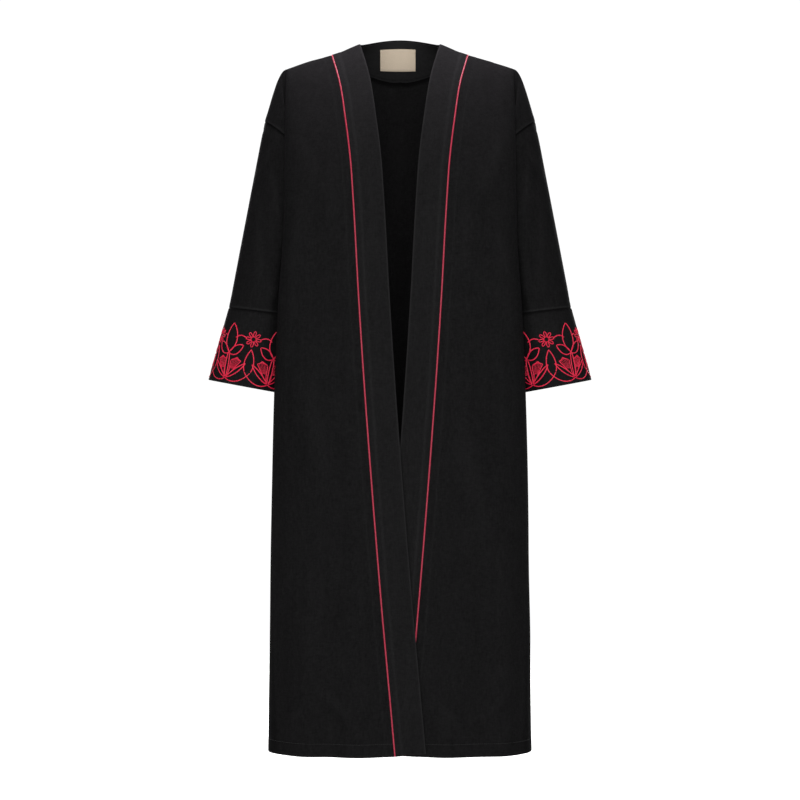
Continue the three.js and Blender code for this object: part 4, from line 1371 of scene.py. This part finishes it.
class MANTEAU_OT_embroidery(bpy.types.Operator):
    """Adds the red line embroidery round each cuff"""

    bl_idname = "manteau.add_embroidery"
    bl_label = "Add embroidery"

    def execute(self, context):
        look = context.scene.manteau
        half = CUFF_ROUND / HALF_UNITS
        width = look.thread_width / MM
        kinds = tuple(zip(motif(half), (width, 0.85 * width, 0.42 * width), (0.8, 0.75, 0.45)))
        petals = ((daisy(np.array([half, 79.0])), 0.85 * width, 0.8),)
        cloth = look.cuff_thickness / MM / 2
        for name, side in SIDES.items():
            strips = []
            for foot in range(-3, 9, 2):
                facing = 1 if foot % 4 == 3 else -1
                for lines, wide, high in kinds + petals:
                    way = [1 if lines is petals[0][0] else facing, 1]
                    for k, line in enumerate(lines):
                        placed = line * way + [half * foot + EMBROIDERY_SHIFT, 0]
                        placed = placed + placed[:, 1:] * [EMBROIDERY_SLANT, 0]
                        kept = placed[(placed[:, 0] > UNDERARM_SEAM[0]) & (placed[:, 0] < UNDERARM_SEAM[1])]
                        if len(kept) > 3:
                            strips.append(thread_strip(kept, side, wide, high, cloth + 0.06 * (k % 3)))
            piece = put_mesh(f"embroidery_{name}", *joined(strips))
            finish_piece(piece, "red_trim").data.materials[0] = bpy.data.materials["embroidery thread"]
        return {"FINISHED"}


class MANTEAU_OT_stitches(bpy.types.Operator):
    """Adds the stitches of the hem, of the cuffs' turned edges and round the label"""

    bl_idname = "manteau.add_stitches"
    bl_label = "Add stitches"

    def execute(self, context):
        hem = UPPER + int(np.argmin(np.abs(LOWER_Z - HEM_Z - HEM_STITCHES)))
        turned = int(np.argmin(np.abs(CUFF_SHARE - 1 + CUFF_STITCHES / CUFF_DEEP)))
        body, cuff = (hem, UPPER + len(LOWER_Z)), (turned, len(CUFF_SHARE))
        rows = {"front_right": body, "front_left": body, "back": body, "cuff_right": cuff, "cuff_left": cuff}
        for node, (row, count) in rows.items():
            near, far = face_lines(node, count, 1)
            line, out = near[row], near[row] - far[row]
            if rows[node] is cuff:
                line, out = (np.concatenate((ring, ring[:1])) for ring in (line, out))
            piece = put_mesh(f"stitches_{node}", *stitch_row(line, out))
            finish_piece(piece, "crepe").data.materials[0] = bpy.data.materials["sewing thread"]

        near, far = face_lines("neck_label", len(LABEL_DOWN), -1)
        lines = []
        for grid in (near, near - far):
            inner = grid[len(LABEL_EDGE) : -len(LABEL_EDGE), len(LABEL_EDGE) : -len(LABEL_EDGE)]
            lines.append(np.concatenate((inner[0], inner[:, -1], inner[-1, ::-1], inner[::-1, 0])))
        piece = put_mesh("stitches_neck_label", *stitch_row(*lines, pitch=2.6, long=2.0, wide=0.5, high=0.2))
        finish_piece(piece, "label_weave")
        return {"FINISHED"}


class MANTEAU_OT_studio(bpy.types.Operator):
    """Adds the pale floor, the soft lights and the camera"""

    bl_idname = "manteau.add_studio"
    bl_label = "Add studio"

    def execute(self, context):
        scene = context.scene
        studio = scene.manteau_studio
        reach = np.linspace(-FLOOR_REACH, FLOOR_REACH, 29)
        grid = points(reach[None, :], reach[:, None], studio.floor_height / MM)
        floor = put_mesh("studio_floor", grid.reshape(-1, 3), grid_quads(len(reach), len(reach)))
        paper = bpy.data.materials.new("studio paper")
        paper.use_nodes = True
        tree = paper.node_tree
        shader = tree.nodes["Principled BSDF"]
        tone = noise(tree, add_node(tree, "ShaderNodeTexCoord").outputs["Object"], 3.0)
        colour = blend_colour(tree, tone, (0.86, 0.86, 0.86, 1), (0.88, 0.88, 0.88, 1))
        tree.links.new(colour, shader.inputs["Base Color"])
        shader.inputs["Roughness"].default_value = 0.9
        shader.inputs["Emission Color"].default_value = (1, 1, 1, 1)
        seen = add_node(tree, "ShaderNodeLightPath").outputs["Is Camera Ray"]
        tree.links.new(maths(tree, "MULTIPLY", seen, studio.floor_glow), shader.inputs["Emission Strength"])
        floor.data.materials.append(paper)

        for name, setting, share, size, tint, place, aim in LAMPS:
            lamp = bpy.data.lights.new(name, "AREA")
            lamp.energy, lamp.size, lamp.color = getattr(studio, setting) * share, size, tint
            light = bpy.data.objects.new(name, lamp)
            way = np.array(aim) - np.array(place)
            flat = math.hypot(way[0], way[1])
            light.location = place
            light.visible_camera = False
            light.rotation_euler = (math.atan2(flat, -way[2]), 0, math.atan2(way[1], way[0]) - math.pi / 2)
            scene.collection.objects.link(light)

        world = bpy.data.worlds.new("plain surround")
        world.use_nodes = True
        world.node_tree.nodes["Background"].inputs["Color"].default_value = (1, 1, 1, 1)
        seen = add_node(world.node_tree, "ShaderNodeLightPath").outputs["Is Camera Ray"]
        strength = maths(world.node_tree, "MULTIPLY_ADD", seen, 1.05 - studio.surround, studio.surround)
        world.node_tree.links.new(strength, world.node_tree.nodes["Background"].inputs["Strength"])
        scene.world = world

        camera = bpy.data.objects.new("camera", bpy.data.cameras.new("camera"))
        camera.data.lens, camera.data.sensor_width = LENS, 36
        camera.data.clip_end = 50
        camera.location = (0, -studio.camera_distance, CAMERA_HEIGHT)
        camera.rotation_euler = (math.pi / 2, 0, 0)
        scene.collection.objects.link(camera)
        scene.camera = camera
        scene.view_settings.view_transform = "Standard"
        scene.view_settings.look = "None"
        return {"FINISHED"}


class MANTEAU_PT_panel(bpy.types.Panel):
    """Lists the garment's pieces and the studio"""

    bl_idname = "MANTEAU_PT_panel"
    bl_label = "Manteau"
    bl_space_type = "VIEW_3D"
    bl_region_type = "UI"
    bl_category = "Manteau"

    def draw(self, context):
        for settings in (context.scene.manteau, context.scene.manteau_studio):
            box = self.layout.box()
            for name in settings.__annotations__:
                box.prop(settings, name)
        for operator in OPERATORS:
            self.layout.operator(operator.bl_idname)


OPERATORS = (
    MANTEAU_OT_materials,
    MANTEAU_OT_fronts,
    MANTEAU_OT_back,
    MANTEAU_OT_neck,
    MANTEAU_OT_sleeves,
    MANTEAU_OT_piping,
    MANTEAU_OT_embroidery,
    MANTEAU_OT_stitches,
    MANTEAU_OT_studio,
)
CLASSES = (ManteauSettings, StudioSettings, *OPERATORS, MANTEAU_PT_panel)


def register():
    """Registers the classes and puts the settings on the scene."""
    for item in CLASSES:
        bpy.utils.register_class(item)
    bpy.types.Scene.manteau = PointerProperty(type=ManteauSettings)
    bpy.types.Scene.manteau_studio = PointerProperty(type=StudioSettings)


def unregister():
    """Takes the settings and the classes away again."""
    del bpy.types.Scene.manteau_studio
    del bpy.types.Scene.manteau
    for item in reversed(CLASSES):
        bpy.utils.unregister_class(item)


def main():
    """Makes every piece in order."""
    register()
    for operator in OPERATORS:
        group, name = operator.bl_idname.split(".")
        getattr(getattr(bpy.ops, group), name)()
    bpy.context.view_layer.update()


if __name__ == "__main__":
    main()
